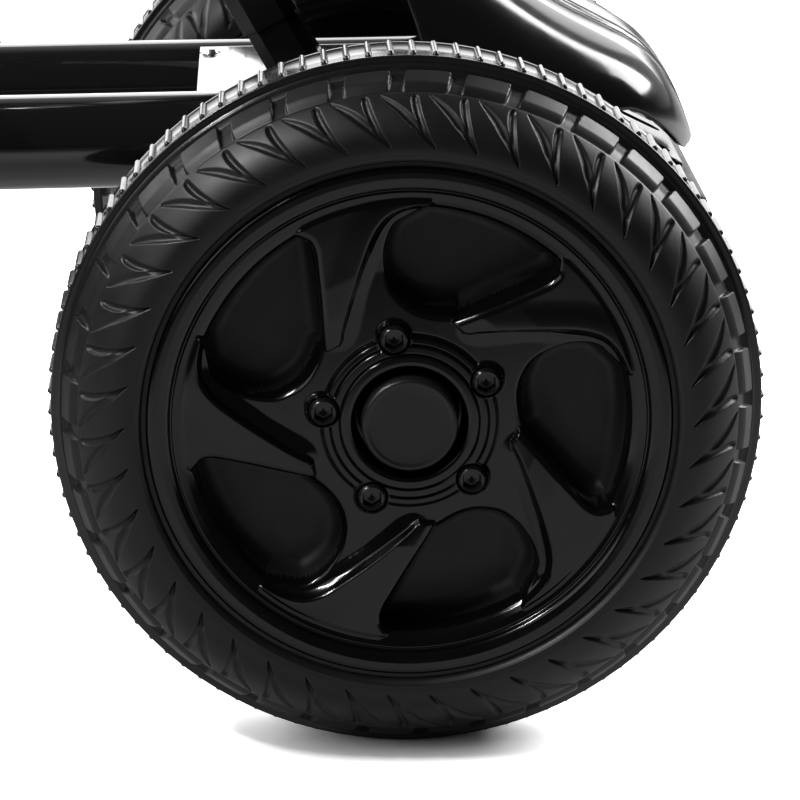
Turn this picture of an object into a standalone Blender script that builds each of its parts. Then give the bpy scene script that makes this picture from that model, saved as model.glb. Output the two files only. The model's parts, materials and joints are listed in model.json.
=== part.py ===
"""Small electric drift kart: twin-rail steel frame, four car-style wheels, seat and drive.

+X is the driving direction, +Y the kart's left side, +Z up.  The origin is the middle of the
footprint, on the ground.  Lengths are in metres.
"""
import math

import bpy
import bmesh
from mathutils import Euler, Matrix, Vector

MM = 0.001
GAP = 0.3 * MM

# Driving dimensions
TYRE_R = 140.6 * MM
TREAD_HALF = 13.8 * MM
TRACK = 396.6 * MM
WHEELBASE = 660.0 * MM
RAIL_R = 20.0 * MM
RAIL_Y = 60.5 * MM
RAIL_Z = 217.0 * MM
RAIL_FRONT_X = 423.0 * MM
RAIL_REAR_X = -455.0 * MM
COLUMN_TILT = math.radians(28.4)
COLUMN_FOOT = Vector((315.4 * MM, 0.0, 192.0 * MM))
STUB_R = 6.0 * MM
KINGPIN_Y = 133.0 * MM
KINGPIN_R = 5.0 * MM
AXLE_R = 10.0 * MM
STEER_ARM = 52.7 * MM
PITMAN_X = 299.1 * MM
TIE_EYE_SHIFT = 1.6 * MM
PEG_X = 115.0 * MM
PEG_Z = 186.5 * MM

FRONT_X = WHEELBASE / 2
REAR_X = -WHEELBASE / 2
AXLE_Z = TYRE_R
WHEEL_Y = TRACK / 2
RAIL_TOP = RAIL_Z + RAIL_R
RAIL_BOTTOM = RAIL_Z - RAIL_R
SIDES = (("right", -1.0), ("left", 1.0))
COLUMN_UP = Vector((-math.sin(COLUMN_TILT), 0.0, math.cos(COLUMN_TILT)))
COLUMN_TURN = (0.0, -COLUMN_TILT, 0.0)

for leftover in list(bpy.data.objects):
    bpy.data.objects.remove(leftover, do_unlink=True)

kart = bpy.data.collections.new("drift_kart")
cutters = bpy.data.collections.new("cutters")
bpy.context.scene.collection.children.link(kart)
bpy.context.scene.collection.children.link(cutters)


def make_material(name, colour, roughness, metallic=0.0):
    material = bpy.data.materials.new(name)
    material.use_nodes = True
    shader = material.node_tree.nodes["Principled BSDF"]
    shader.inputs["Base Color"].default_value = (*colour, 1.0)
    shader.inputs["Roughness"].default_value = roughness
    shader.inputs["Metallic"].default_value = metallic
    return material


GLOSS_PAINT = make_material("gloss_black_paint", (0.012, 0.012, 0.013), 0.12)
GLOSS_PLASTIC = make_material("gloss_black_plastic", (0.014, 0.014, 0.015), 0.18)
MATTE_PLASTIC = make_material("matte_black_plastic", (0.03, 0.03, 0.032), 0.6)
TYRE_FOAM = make_material("black_foam_tyre", (0.028, 0.028, 0.03), 0.62)
ZINC = make_material("zinc_plated_steel", (0.55, 0.55, 0.56), 0.35, 1.0)
DARK_STEEL = make_material("black_oxide_steel", (0.05, 0.05, 0.052), 0.4, 1.0)
NYLON = make_material("grey_nylon", (0.35, 0.35, 0.36), 0.5)
GRIP_RUBBER = make_material("black_grip_rubber", (0.025, 0.025, 0.026), 0.75)


def store(obj, material, helper=False):
    """Put an object in its collection; a helper is only used by Boolean modifiers."""
    if material is not None:
        obj.data.materials.append(material)
    if helper:
        cutters.objects.link(obj)
        obj.hide_render = True
        obj.hide_viewport = False
        obj.display_type = "WIRE"
    else:
        kart.objects.link(obj)
    return obj


def mesh_object(name, mesh_builder, material, place=(0, 0, 0), turn=(0, 0, 0), helper=False):
    """An object from a bmesh that mesh_builder returns, shaded smooth with sharp corners."""
    shape = mesh_builder()
    mesh = bpy.data.meshes.new(name)
    shape.to_mesh(mesh)
    shape.free()
    obj = bpy.data.objects.new(name, mesh)
    obj.location = place
    obj.rotation_euler = turn
    store(obj, material, helper)
    mesh.shade_smooth()
    mesh.set_sharp_from_angle(angle=math.radians(35))
    return obj


def box(name, size, material, place=(0, 0, 0), turn=(0, 0, 0), helper=False, edge=0.0):
    """A box of the given size about its own origin, with an optional rounded edge."""
    def build():
        shape = bmesh.new()
        bmesh.ops.create_cube(shape, size=1.0)
        bmesh.ops.scale(shape, vec=size, verts=shape.verts)
        return shape
    obj = mesh_object(name, build, material, place, turn, helper)
    if edge:
        bevel = obj.modifiers.new("edges", "BEVEL")
        bevel.width = edge
        bevel.segments = 2
    return obj


def rod(name, radius, length, material, place=(0, 0, 0), turn=(0, 0, 0), helper=False,
        sides=24, tip_radius=None):
    """A cylinder or cone along local Z, centred on its origin."""
    def build():
        shape = bmesh.new()
        top = radius if tip_radius is None else tip_radius
        bmesh.ops.create_cone(shape, cap_ends=True, segments=sides, radius1=radius,
                              radius2=top, depth=length)
        return shape
    return mesh_object(name, build, material, place, turn, helper)


def turned(name, profile, material, steps, place=(0, 0, 0), turn=(0, 0, 0), helper=False,
           closed=True):
    """A body turned about local Z from (radius, height) points that run down the outside."""
    mesh = bpy.data.meshes.new(name)
    points = [(radius, 0.0, height) for radius, height in profile]
    edges = [(i, i + 1) for i in range(len(points) - 1)]
    if closed:
        edges.append((len(points) - 1, 0))
    mesh.from_pydata(points, edges, [])
    obj = bpy.data.objects.new(name, mesh)
    obj.location = place
    obj.rotation_euler = turn
    store(obj, material, helper)
    screw = obj.modifiers.new("turn", "SCREW")
    screw.axis = "Z"
    screw.steps = steps
    screw.render_steps = steps
    screw.use_merge_vertices = True
    screw.merge_threshold = 0.00001
    screw.use_smooth_shade = True
    return obj


def curve_object(name, points, radius, material, place=(0, 0, 0), turn=(0, 0, 0),
                 closed=False, sides_level=2, helper=False):
    """A round tube through the points."""
    data = bpy.data.curves.new(name, "CURVE")
    data.dimensions = "3D"
    data.bevel_depth = radius
    data.bevel_resolution = sides_level
    data.use_fill_caps = True
    spline = data.splines.new("POLY")
    spline.points.add(len(points) - 1)
    for place_on_curve, point in zip(spline.points, points):
        place_on_curve.co = (*point, 1.0)
    spline.use_cyclic_u = closed
    spline.use_smooth = True
    obj = bpy.data.objects.new(name, data)
    obj.location = place
    obj.rotation_euler = turn
    return store(obj, material, helper)


def plate(name, outline, thickness, material, place=(0, 0, 0), turn=(0, 0, 0), helper=False,
          smooth=False, resolution=3):
    """A flat plate with the given outline in local XY, centred on its origin in Z."""
    data = bpy.data.curves.new(name, "CURVE")
    data.dimensions = "2D"
    data.fill_mode = "BOTH"
    data.extrude = thickness / 2
    data.resolution_u = resolution
    spline = data.splines.new("BEZIER" if smooth else "POLY")
    if smooth:
        spline.bezier_points.add(len(outline) - 1)
        for knot, point in zip(spline.bezier_points, outline):
            knot.co = (*point, 0.0)
            knot.handle_left_type = "AUTO"
            knot.handle_right_type = "AUTO"
    else:
        spline.points.add(len(outline) - 1)
        for knot, point in zip(spline.points, outline):
            knot.co = (*point, 0.0, 1.0)
    spline.use_cyclic_u = True
    obj = bpy.data.objects.new(name, data)
    obj.location = place
    obj.rotation_euler = turn
    return store(obj, material, helper)


def as_mesh(obj):
    """Turn a curve object into a mesh object with the same name, welded and ready for Booleans."""
    bpy.context.view_layer.update()
    graph = bpy.context.evaluated_depsgraph_get()
    mesh = bpy.data.meshes.new_from_object(obj.evaluated_get(graph))
    shape = bmesh.new()
    shape.from_mesh(mesh)
    bmesh.ops.remove_doubles(shape, verts=shape.verts, dist=0.00001)
    bmesh.ops.recalc_face_normals(shape, faces=shape.faces)
    shape.to_mesh(mesh)
    shape.free()
    name = obj.name
    helper = cutters in obj.users_collection
    matrix = obj.matrix_world.copy()
    bpy.data.objects.remove(obj, do_unlink=True)
    solid = bpy.data.objects.new(name, mesh)
    store(solid, None, helper)
    solid.matrix_world = matrix
    mesh.shade_smooth()
    mesh.set_sharp_from_angle(angle=math.radians(35))
    return solid


def combine(target, other, operation):
    """Add or take away the other object with a Boolean modifier."""
    step = target.modifiers.new(operation.lower() + "_" + other.name, "BOOLEAN")
    step.operation = operation
    step.solver = "EXACT"
    step.object = other
    return target


def join(target, *others):
    for other in others:
        combine(target, other, "UNION")
    return target


def cut(target, *others):
    for other in others:
        combine(target, other, "DIFFERENCE")
    return target


def rounded(width, height, corner, steps=4):
    """A rounded rectangle's outline."""
    points = []
    for index, (sx, sy) in enumerate(((1, 1), (-1, 1), (-1, -1), (1, -1))):
        centre = (sx * (width / 2 - corner), sy * (height / 2 - corner))
        for step in range(steps + 1):
            angle = math.radians(90 * index) + math.radians(90) * step / steps
            points.append((centre[0] + corner * math.cos(angle),
                           centre[1] + corner * math.sin(angle)))
    return points


ALONG_Y = (math.radians(90), 0, 0)
ALONG_X = (0, math.radians(90), 0)

# Wheels.  In a wheel's own frame +Z points out of the kart and Z = 0 is its middle plane.
WHEEL_STEPS = 28
RIM_R = 103.0 * MM
SEAT_R = 97.0 * MM
BORE_R = 10.3 * MM
FACE_Z = 37.4 * MM
POCKET_FLOOR_Z = 17.0 * MM
FLANGE_POCKET_Z = 12.4 * MM
CAP_R = 18.7 * MM
LUG_CIRCLE_R = 33.5 * MM
LUG_HEAD_R = 5.9 * MM
LUG_TOP_Z = 41.0 * MM
LUG_PHASE = math.radians(99.4)
LUG_COUNT = 5


def out_turn(side):
    """Rotation that points a wheel's own +Z out of the kart on the given side."""
    return (math.radians(-90.0 * side), 0, 0)


def front_tyre(name, place, turn):
    """Foam tyre with a narrow flat tread and sloping shoulders."""
    outside = [(SEAT_R + GAP, 40.4 * MM), (103.6 * MM, 40.4 * MM), (103.6 * MM, 43.4 * MM),
               (114.0 * MM, 44.0 * MM), (129.6 * MM, 31.0 * MM), (135.6 * MM, 18.5 * MM),
               (TYRE_R, TREAD_HALF)]
    inside = [(radius, -height) for radius, height in reversed(outside)]
    return turned(name, outside + inside, TYRE_FOAM, WHEEL_STEPS, place, turn)


def rear_tyre(name, place, turn):
    """Hard slick drift tyre: a broad flat tread that slides easily."""
    outside = [(SEAT_R + GAP, 40.4 * MM), (103.6 * MM, 40.4 * MM), (103.6 * MM, 43.4 * MM),
               (113.0 * MM, 44.8 * MM), (126.0 * MM, 42.0 * MM), (136.0 * MM, 35.0 * MM),
               (TYRE_R, 26.0 * MM)]
    inside = [(radius, -height) for radius, height in reversed(outside)]
    return turned(name, outside + inside, TYRE_FOAM, WHEEL_STEPS, place, turn)


def rim_blank():
    """The rim without its windows, as a turned body; the back is dished."""
    profile = [(CAP_R + 2.3 * MM, FACE_Z), (86.0 * MM, FACE_Z),
               (RIM_R, 42.8 * MM), (RIM_R, 41.0 * MM),
               (SEAT_R, 41.0 * MM), (SEAT_R, -41.0 * MM), (RIM_R, -41.0 * MM),
               (RIM_R, -43.2 * MM), (92.0 * MM, -43.2 * MM), (86.0 * MM, FLANGE_POCKET_Z),
               (BORE_R + 10.0 * MM, FLANGE_POCKET_Z), (BORE_R + 8.0 * MM, -42.0 * MM),
               (BORE_R, -42.0 * MM), (BORE_R, 24.0 * MM), (CAP_R + 2.3 * MM, 24.0 * MM)]
    return turned("rim_blank", profile, GLOSS_PLASTIC, WHEEL_STEPS)


WINDOW_OUTLINE = [(3, 83.5), (-9.5, 68), (-6.5, 50), (12, 40.5), (36, 49), (57, 57.8),
                  (53, 67.5), (30, 80.3)]


def window_cutter():
    """A teardrop pocket between two spokes, cut from the outer face down to its floor."""
    outline = [(x * MM, y * MM) for x, y in WINDOW_OUTLINE]
    depth = 40.0 * MM
    blank = plate("window_cutter", outline, depth, None, (0, 0, POCKET_FLOOR_Z + depth / 2),
                  helper=True, smooth=True, resolution=2)
    return as_mesh(blank)


def make_rim_mesh():
    """One rim, with five windows, five lug holes and the cap's recess, as a shared mesh."""
    rim = rim_blank()
    window = window_cutter()
    for number in range(5):
        copy = window if number == 0 else window.copy()
        if number:
            cutters.objects.link(copy)
        copy.rotation_euler = (0, 0, math.radians(72 * number))
        cut(rim, copy)
    for number in range(LUG_COUNT):
        angle = LUG_PHASE + math.tau * number / LUG_COUNT
        spot = (LUG_CIRCLE_R * math.cos(angle), LUG_CIRCLE_R * math.sin(angle))
        hole = rod("lug_hole", LUG_HEAD_R + 2 * GAP, 60.0 * MM, None,
                   (*spot, FLANGE_POCKET_Z + 30.0 * MM), helper=True, sides=8)
        cut(rim, hole)
    bpy.context.view_layer.update()
    graph = bpy.context.evaluated_depsgraph_get()
    mesh = bpy.data.meshes.new_from_object(rim.evaluated_get(graph))
    mesh.name = "rim"
    shape = bmesh.new()
    shape.from_mesh(mesh)
    bmesh.ops.remove_doubles(shape, verts=shape.verts, dist=0.00001)
    bmesh.ops.dissolve_limit(shape, angle_limit=math.radians(0.5), verts=shape.verts,
                             edges=shape.edges)
    shape.to_mesh(mesh)
    shape.free()
    bpy.data.objects.remove(rim, do_unlink=True)
    return mesh


def hub_flange(name, place, turn):
    """Steel flange behind the wheel face with its five domed lug bolts."""
    flange_top = 12.0 * MM
    profile = [(40.0 * MM, flange_top), (40.0 * MM, flange_top - 4.0 * MM),
               (BORE_R + 14.0 * MM, flange_top - 4.0 * MM), (BORE_R + 14.0 * MM, flange_top)]
    flange = turned(name, profile, DARK_STEEL, 20, place, turn)
    matrix = Matrix.Translation(place) @ Euler(turn).to_matrix().to_4x4()
    for number in range(LUG_COUNT):
        angle = LUG_PHASE + math.tau * number / LUG_COUNT
        stud_profile = [(0.0, LUG_TOP_Z), (LUG_HEAD_R, LUG_TOP_Z - 3.0 * MM),
                        (LUG_HEAD_R, flange_top - 3.0 * MM), (0.0, flange_top - 3.0 * MM)]
        stud = turned("lug_bolt_helper", stud_profile, DARK_STEEL, 8, helper=True, closed=False)
        spot = Vector((LUG_CIRCLE_R * math.cos(angle), LUG_CIRCLE_R * math.sin(angle), 0))
        stud.matrix_world = matrix @ Matrix.Translation(spot)
        join(flange, stud)
    return flange


def hub_cap(name, place, turn):
    """Round snap-in cap over the axle nut."""
    profile = [(0.0, 41.9 * MM), (17.0 * MM, 41.9 * MM), (CAP_R, 40.4 * MM),
               (CAP_R, 33.0 * MM), (0.0, 33.0 * MM)]
    return turned(name, profile, MATTE_PLASTIC, 20, place, turn, closed=False)


def wheel(position, side, x, tyre_maker):
    """Tyre, rim, cap and bolts of one wheel."""
    label = "right" if side < 0 else "left"
    place = (x, side * WHEEL_Y, AXLE_Z)
    turn = out_turn(side)
    tyre_maker(f"{position}_tyre_{label}", place, turn)
    rim = bpy.data.objects.new(f"{position}_rim_{label}", rim_mesh)
    rim.location = place
    rim.rotation_euler = turn
    kart.objects.link(rim)
    hub_cap(f"{position}_hub_cap_{label}", place, turn)
    hub_flange(f"{position}_hub_flange_{label}", place, turn)


rim_mesh = make_rim_mesh()
rim_mesh.materials.clear()
rim_mesh.materials.append(GLOSS_PLASTIC)
for label, side in SIDES:
    wheel("front", side, FRONT_X, front_tyre)
    wheel("rear", side, REAR_X, rear_tyre)


# Front corner: stub axle knuckles on kingpins, carried by the axle beam
BARREL_HALF = 20.3 * MM
EAR_THICK = 5.0 * MM
ARM_Z = AXLE_Z + 12.0 * MM
TIE_ROD_Z = {"right": 167.0 * MM, "left": 160.0 * MM}
PIVOT_X = FRONT_X - STEER_ARM
STUB_TIP_Y = WHEEL_Y + 31.5 * MM
BUSH_INNER = -42.0 * MM
BUSH_OUTER = 24.0 * MM


def knuckle(label, side):
    """Kingpin barrel with the stub axle, its shoulder and the steering arm."""
    barrel = rod(f"knuckle_{label}", 9.0 * MM, 2 * BARREL_HALF, DARK_STEEL,
                 (FRONT_X, side * KINGPIN_Y, AXLE_Z), sides=20)
    stub_start = KINGPIN_Y + 3.0 * MM
    stub = rod("stub_helper", STUB_R, STUB_TIP_Y - stub_start, None,
               (FRONT_X, side * (STUB_TIP_Y + stub_start) / 2, AXLE_Z), ALONG_Y,
               helper=True, sides=16)
    shoulder = rod("shoulder_helper", 10.0 * MM, 16.0 * MM, None,
                   (FRONT_X, side * (KINGPIN_Y + 13.0 * MM), AXLE_Z), ALONG_Y,
                   helper=True, sides=16)
    arm = box("steering_arm_helper", (STEER_ARM + 12.0 * MM, 13.0 * MM, 6.0 * MM), None,
              (FRONT_X - STEER_ARM / 2 - 1.0 * MM, side * KINGPIN_Y, ARM_Z), helper=True)
    pin_top = 171.0 * MM
    pin = rod("arm_pin_helper", 4.0 * MM, pin_top - ARM_Z, None,
              (PIVOT_X, side * KINGPIN_Y, (pin_top + ARM_Z) / 2), helper=True, sides=12)
    bore = rod("kingpin_bore_helper", KINGPIN_R + GAP, 80.0 * MM, None,
               (FRONT_X, side * KINGPIN_Y, AXLE_Z), helper=True, sides=16)
    join(barrel, stub, shoulder, arm, pin)
    return cut(barrel, bore)


def kingpin(label, side):
    """Bolt that carries the knuckle, with its head on top."""
    half = BARREL_HALF + GAP + EAR_THICK
    profile = [(0.0, half + 6.0 * MM), (7.5 * MM, half + 6.0 * MM), (7.5 * MM, half + GAP),
               (KINGPIN_R, half + GAP), (KINGPIN_R, -half - 4.0 * MM), (0.0, -half - 4.0 * MM)]
    return turned(f"kingpin_{label}", profile, ZINC, 12,
                  (FRONT_X, side * KINGPIN_Y, AXLE_Z), closed=False)


def wheel_bush(label, side):
    """Nylon sleeve pressed in the front rim, running on the stub axle."""
    profile = [(AXLE_R, BUSH_OUTER), (AXLE_R, BUSH_INNER), (STUB_R + GAP, BUSH_INNER),
               (STUB_R + GAP, BUSH_OUTER)]
    return turned(f"front_wheel_bush_{label}", profile, NYLON, 20,
                  (FRONT_X, side * WHEEL_Y, AXLE_Z), out_turn(side))


def axle_nut(label, side):
    """Lock nut that keeps the front wheel on its stub axle."""
    thick = 6.0 * MM
    nut = rod(f"axle_nut_{label}", 10.0 * MM, thick, ZINC,
              (FRONT_X, side * (WHEEL_Y + BUSH_OUTER + GAP + thick / 2), AXLE_Z), ALONG_Y, sides=6)
    bore = rod("nut_bore_helper", STUB_R + GAP, 3 * thick, None, tuple(nut.location), ALONG_Y,
               helper=True, sides=16)
    return cut(nut, bore)


def tie_rod(label, side):
    """Rod from the steering arm's pin to the pitman arm's pin, with an eye at each end.

    The inner eye is wider than its pin and sits a little forward of it: the rod keeps its
    direction while the pin swings on the tilted shaft, so the two drift apart a little.
    """
    height = TIE_ROD_Z[label]
    outer_end = Vector((PIVOT_X, side * KINGPIN_Y, height))
    inner_end = Vector((PITMAN_X + TIE_EYE_SHIFT, 0, height))
    run = inner_end - outer_end
    bar = rod(f"tie_rod_{label}", 3.6 * MM, run.length - 15.0 * MM, ZINC, outer_end + run / 2,
              run.to_track_quat("Z", "Y").to_euler(), sides=10)
    for end, eye_radius in ((outer_end, 8.5 * MM), (inner_end, 9.0 * MM)):
        join(bar, rod("eye_helper", eye_radius, 5.0 * MM, None, end, helper=True, sides=16))
    for end, bore_radius in ((outer_end, 4.5 * MM), (inner_end, 6.0 * MM)):
        cut(bar, rod("eye_bore_helper", bore_radius, 15.0 * MM, None, end, helper=True, sides=12))
    return bar


def yoke_outline(side, ear_z):
    """Side view of a forked yoke, in the plane across the kart."""
    root, back, tip = 111.0 * MM, 117.0 * MM, 145.0 * MM
    outer, inner = ear_z + EAR_THICK / 2, ear_z - EAR_THICK / 2
    corners = [(root, -outer), (tip, -outer), (tip, -inner), (back, -inner), (back, inner),
               (tip, inner), (tip, outer), (root, outer)]
    return [(side * across, up) for across, up in corners]


def front_axle_beam():
    """Cross beam with a forked yoke at each end and two hangers up to the frame rails."""
    beam = box("front_axle_beam", (24.0 * MM, 232.0 * MM, 20.0 * MM), GLOSS_PAINT,
               (FRONT_X, 0, AXLE_Z))
    ear_z = BARREL_HALF + GAP + EAR_THICK / 2
    for label, side in SIDES:
        yoke = as_mesh(plate("yoke_helper", yoke_outline(side, ear_z), 26.0 * MM, None,
                             (FRONT_X, 0, AXLE_Z), (math.radians(90), 0, math.radians(90)),
                             helper=True))
        join(beam, yoke)
        foot = AXLE_Z + 5.0 * MM
        top = RAIL_BOTTOM - GAP
        hanger = box("hanger_helper", (36.0 * MM, 14.0 * MM, top - foot), None,
                     (FRONT_X, side * RAIL_Y, (top + foot) / 2), helper=True)
        join(beam, hanger)
    for label, side in SIDES:
        bore = rod("yoke_bore_helper", KINGPIN_R + GAP, 90.0 * MM, None,
                   (FRONT_X, side * KINGPIN_Y, AXLE_Z), helper=True, sides=16)
        cut(beam, bore)
    return beam


for label, side in SIDES:
    knuckle(label, side)
    kingpin(label, side)
    wheel_bush(label, side)
    axle_nut(label, side)
    tie_rod(label, side)
front_axle_beam()

# Steering column.  Distances along it are measured up from its foot.
SHAFT_R = 8.0 * MM
TUBE_DEPTH = 23.4 * MM
TUBE_WIDTH = 34.0 * MM
TUBE_CHAMFER = 5.0 * MM
TUBE_TOP = 345.0 * MM
SHROUD_BOTTOM = 74.0 * MM
SHROUD_TOP = 290.0 * MM
WHEEL_PLANE = 395.0 * MM
STEERING_R = 112.0 * MM
STEERING_GRIP_R = 11.0 * MM
PITMAN_Z = 176.0 * MM
PLATE_TOP = 235.5 * MM
PLATE_THICK = 3.0 * MM
PLATE_REAR_X = FRONT_X - 82.0 * MM
PLATE_FRONT_X = FRONT_X + 62.0 * MM
SCREW_SEAT = 0.4 * MM
PLATE_SCREWS = {"right": (PLATE_FRONT_X - 15.0 * MM, -35.0 * MM),
                "left": (PLATE_REAR_X + 4.6 * MM, 37.0 * MM)}


def on_column(distance):
    return COLUMN_FOOT + COLUMN_UP * distance


def chamfered(width, height, chamfer):
    """A rectangle's outline with cut corners."""
    w, h = width / 2, height / 2
    return [(w, -h + chamfer), (w, h - chamfer), (w - chamfer, h), (-w + chamfer, h),
            (-w, h - chamfer), (-w, -h + chamfer), (-w + chamfer, -h), (w - chamfer, -h)]


def steering_shaft():
    """Shaft with the pitman arm and its pin at the foot."""
    foot = -17.0 * MM
    top = WHEEL_PLANE - 4.0 * MM
    shaft = rod("steering_shaft", SHAFT_R, top - foot, ZINC, on_column((top + foot) / 2),
                COLUMN_TURN, sides=16)
    front_x = FRONT_X + 2.8 * MM
    rear_x = PITMAN_X - 6.0 * MM
    arm = box("pitman_helper", (front_x - rear_x, 20.0 * MM, 4.0 * MM), None,
              ((front_x + rear_x) / 2, 0, PITMAN_Z), helper=True)
    pin_bottom = 156.0 * MM
    pin = rod("pitman_pin_helper", 2.0 * MM, PITMAN_Z - pin_bottom, None,
              (PITMAN_X, 0, (PITMAN_Z + pin_bottom) / 2), helper=True, sides=10)
    return join(shaft, arm, pin)


def column_tube():
    """Rectangular support tube, cut level at its foot to stand on the foot plate."""
    foot = 20.0 * MM
    tube = as_mesh(plate("column_tube", chamfered(TUBE_DEPTH, TUBE_WIDTH, TUBE_CHAMFER),
                         TUBE_TOP - foot, GLOSS_PAINT, on_column((TUBE_TOP + foot) / 2),
                         COLUMN_TURN))
    bore = rod("column_bore_helper", SHAFT_R + 1.0 * MM, 2 * TUBE_TOP, None,
               on_column(TUBE_TOP / 2), COLUMN_TURN, helper=True, sides=16)
    ground_depth = 100.0 * MM
    level = box("level_cut_helper", (200.0 * MM, 100.0 * MM, ground_depth), None,
                (on_column(50.0 * MM).x, 0, PLATE_TOP + GAP - ground_depth / 2), helper=True)
    return cut(tube, bore, level)


def column_shroud():
    """Plastic cover around the upper part of the support tube."""
    wall = 1.3 * MM
    length = SHROUD_TOP - SHROUD_BOTTOM
    middle = on_column((SHROUD_TOP + SHROUD_BOTTOM) / 2)
    outer = as_mesh(plate("column_shroud",
                          chamfered(TUBE_DEPTH + 2 * wall, TUBE_WIDTH + 2 * wall,
                                    TUBE_CHAMFER + 1.0 * MM),
                          length, GLOSS_PLASTIC, middle, COLUMN_TURN))
    inner = as_mesh(plate("shroud_bore_helper",
                          chamfered(TUBE_DEPTH + 2 * GAP, TUBE_WIDTH + 2 * GAP, TUBE_CHAMFER),
                          2 * length, None, middle, COLUMN_TURN, helper=True))
    return cut(outer, inner)


def steering_wheel():
    """One-piece steering wheel: grip ring, three spokes and the hub."""
    def ring():
        shape = bmesh.new()
        count, sides = 24, 8
        rows = []
        for i in range(count):
            angle = math.tau * i / count
            row = []
            for j in range(sides):
                turn = math.tau * j / sides
                radius = STEERING_R + STEERING_GRIP_R * math.cos(turn)
                row.append(shape.verts.new((radius * math.cos(angle), radius * math.sin(angle),
                                            STEERING_GRIP_R * math.sin(turn))))
            rows.append(row)
        for i in range(count):
            for j in range(sides):
                following, beside = rows[(i + 1) % count], (j + 1) % sides
                shape.faces.new((rows[i][j], following[j], following[beside], rows[i][beside]))
        return shape
    place = on_column(WHEEL_PLANE)
    grip = mesh_object("steering_wheel", ring, GRIP_RUBBER, place, COLUMN_TURN)
    hub_low, hub_high = -14.0 * MM, 8.0 * MM
    hub = rod("wheel_hub_helper", 27.0 * MM, hub_high - hub_low, None,
              on_column(WHEEL_PLANE + (hub_low + hub_high) / 2), COLUMN_TURN, helper=True, sides=20)
    join(grip, hub)
    column_matrix = Matrix.Translation(place) @ Euler(COLUMN_TURN).to_matrix().to_4x4()
    for angle in (90, 180, 270):
        spoke = box("wheel_spoke_helper", (92.0 * MM, 22.0 * MM, 7.0 * MM), None, helper=True)
        turn_about = Matrix.Rotation(math.radians(angle), 4, "Z")
        shift = Matrix.Translation((66.0 * MM, 0, 0))
        spoke.matrix_world = column_matrix @ turn_about @ shift
        join(grip, spoke)
    bore = rod("wheel_bore_helper", SHAFT_R + GAP, 24.0 * MM, None,
               on_column(WHEEL_PLANE - 3.7 * MM - 12.0 * MM), COLUMN_TURN, helper=True, sides=16)
    recess = rod("horn_recess_helper", 18.5 * MM, 20.0 * MM, None,
                 on_column(WHEEL_PLANE + 10.0 * MM), COLUMN_TURN, helper=True, sides=20)
    return cut(grip, bore, recess)


def horn_button():
    """Push button in the steering wheel's hub."""
    profile = [(0.0, 12.0 * MM), (12.0 * MM, 11.5 * MM), (18.0 * MM, 8.5 * MM),
               (18.0 * MM, 3.5 * MM), (0.0, 3.5 * MM)]
    return turned("horn_button", profile, GLOSS_PLASTIC, 20, on_column(WHEEL_PLANE),
                  COLUMN_TURN, closed=False)


steering_shaft()
column_tube()
column_shroud()
steering_wheel()
horn_button()


# Frame
RAIL_WALL = 1.8 * MM
PEG_R = 10.0 * MM
BUMPER_X = FRONT_X + 124.0 * MM


def frame_rail(label, side):
    length = RAIL_FRONT_X - RAIL_REAR_X
    profile = [(RAIL_R, length / 2), (RAIL_R, -length / 2), (RAIL_R - RAIL_WALL, -length / 2),
               (RAIL_R - RAIL_WALL, length / 2)]
    return turned(f"frame_rail_{label}", profile, GLOSS_PAINT, 24,
                  ((RAIL_FRONT_X + RAIL_REAR_X) / 2, side * RAIL_Y, RAIL_Z), ALONG_X)


def foot_plate():
    """Floor plate let in between the rails' upper shoulders."""
    top_half, bottom_half = 52.0 * MM, 47.2 * MM
    low = -PLATE_THICK
    section = [(-bottom_half, low), (bottom_half, low), (top_half, 0.0), (-top_half, 0.0)]
    length = PLATE_FRONT_X - PLATE_REAR_X
    floor = as_mesh(plate("foot_plate", section, length, GLOSS_PAINT,
                          ((PLATE_FRONT_X + PLATE_REAR_X) / 2, 0, PLATE_TOP),
                          (math.radians(90), 0, math.radians(90))))
    slot = rod("shaft_slot_helper", 14.0 * MM, 20.0 * MM, None,
               (on_column(49.0 * MM).x, 0, PLATE_TOP), helper=True, sides=16)
    cut(floor, slot)
    for spot in PLATE_SCREWS.values():
        hole = rod("screw_hole_helper", 2.8 * MM, 20.0 * MM, None, (*spot, PLATE_TOP),
                   helper=True, sides=12)
        seat = rod("screw_seat_helper", 4.9 * MM, 2 * SCREW_SEAT, None, (*spot, PLATE_TOP),
                   helper=True, sides=12)
        cut(floor, hole, seat)
    return floor


def foot_plate_screw(label):
    """Low pan-head screw near a corner of the plate, its head in a shallow seat."""
    under_head = GAP - SCREW_SEAT
    profile = [(0.0, 2.2 * MM), (3.0 * MM, 1.9 * MM), (4.2 * MM, under_head),
               (2.5 * MM, under_head), (2.5 * MM, -10.0 * MM), (0.0, -10.0 * MM)]
    return turned(f"foot_plate_screw_{label}", profile, ZINC, 12,
                  (*PLATE_SCREWS[label], PLATE_TOP), closed=False)


def front_bumper():
    """Cross bar ahead of the rails on two flat brackets under them."""
    bar = box("front_bumper", (20.0 * MM, 150.0 * MM, 15.0 * MM), GLOSS_PAINT,
              (BUMPER_X, 0, 183.0 * MM), edge=3.0 * MM)
    for label, side in SIDES:
        bracket = box("bumper_bracket_helper", (66.0 * MM, 24.0 * MM, 9.0 * MM), None,
                      (BUMPER_X - 36.0 * MM, side * RAIL_Y, RAIL_BOTTOM - GAP - 4.5 * MM), helper=True)
        join(bar, bracket)
    return bar


FAIRING_STATIONS = 11
FAIRING_GIRTH = 8
FAIRING_WALL = 2.6 * MM


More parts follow.
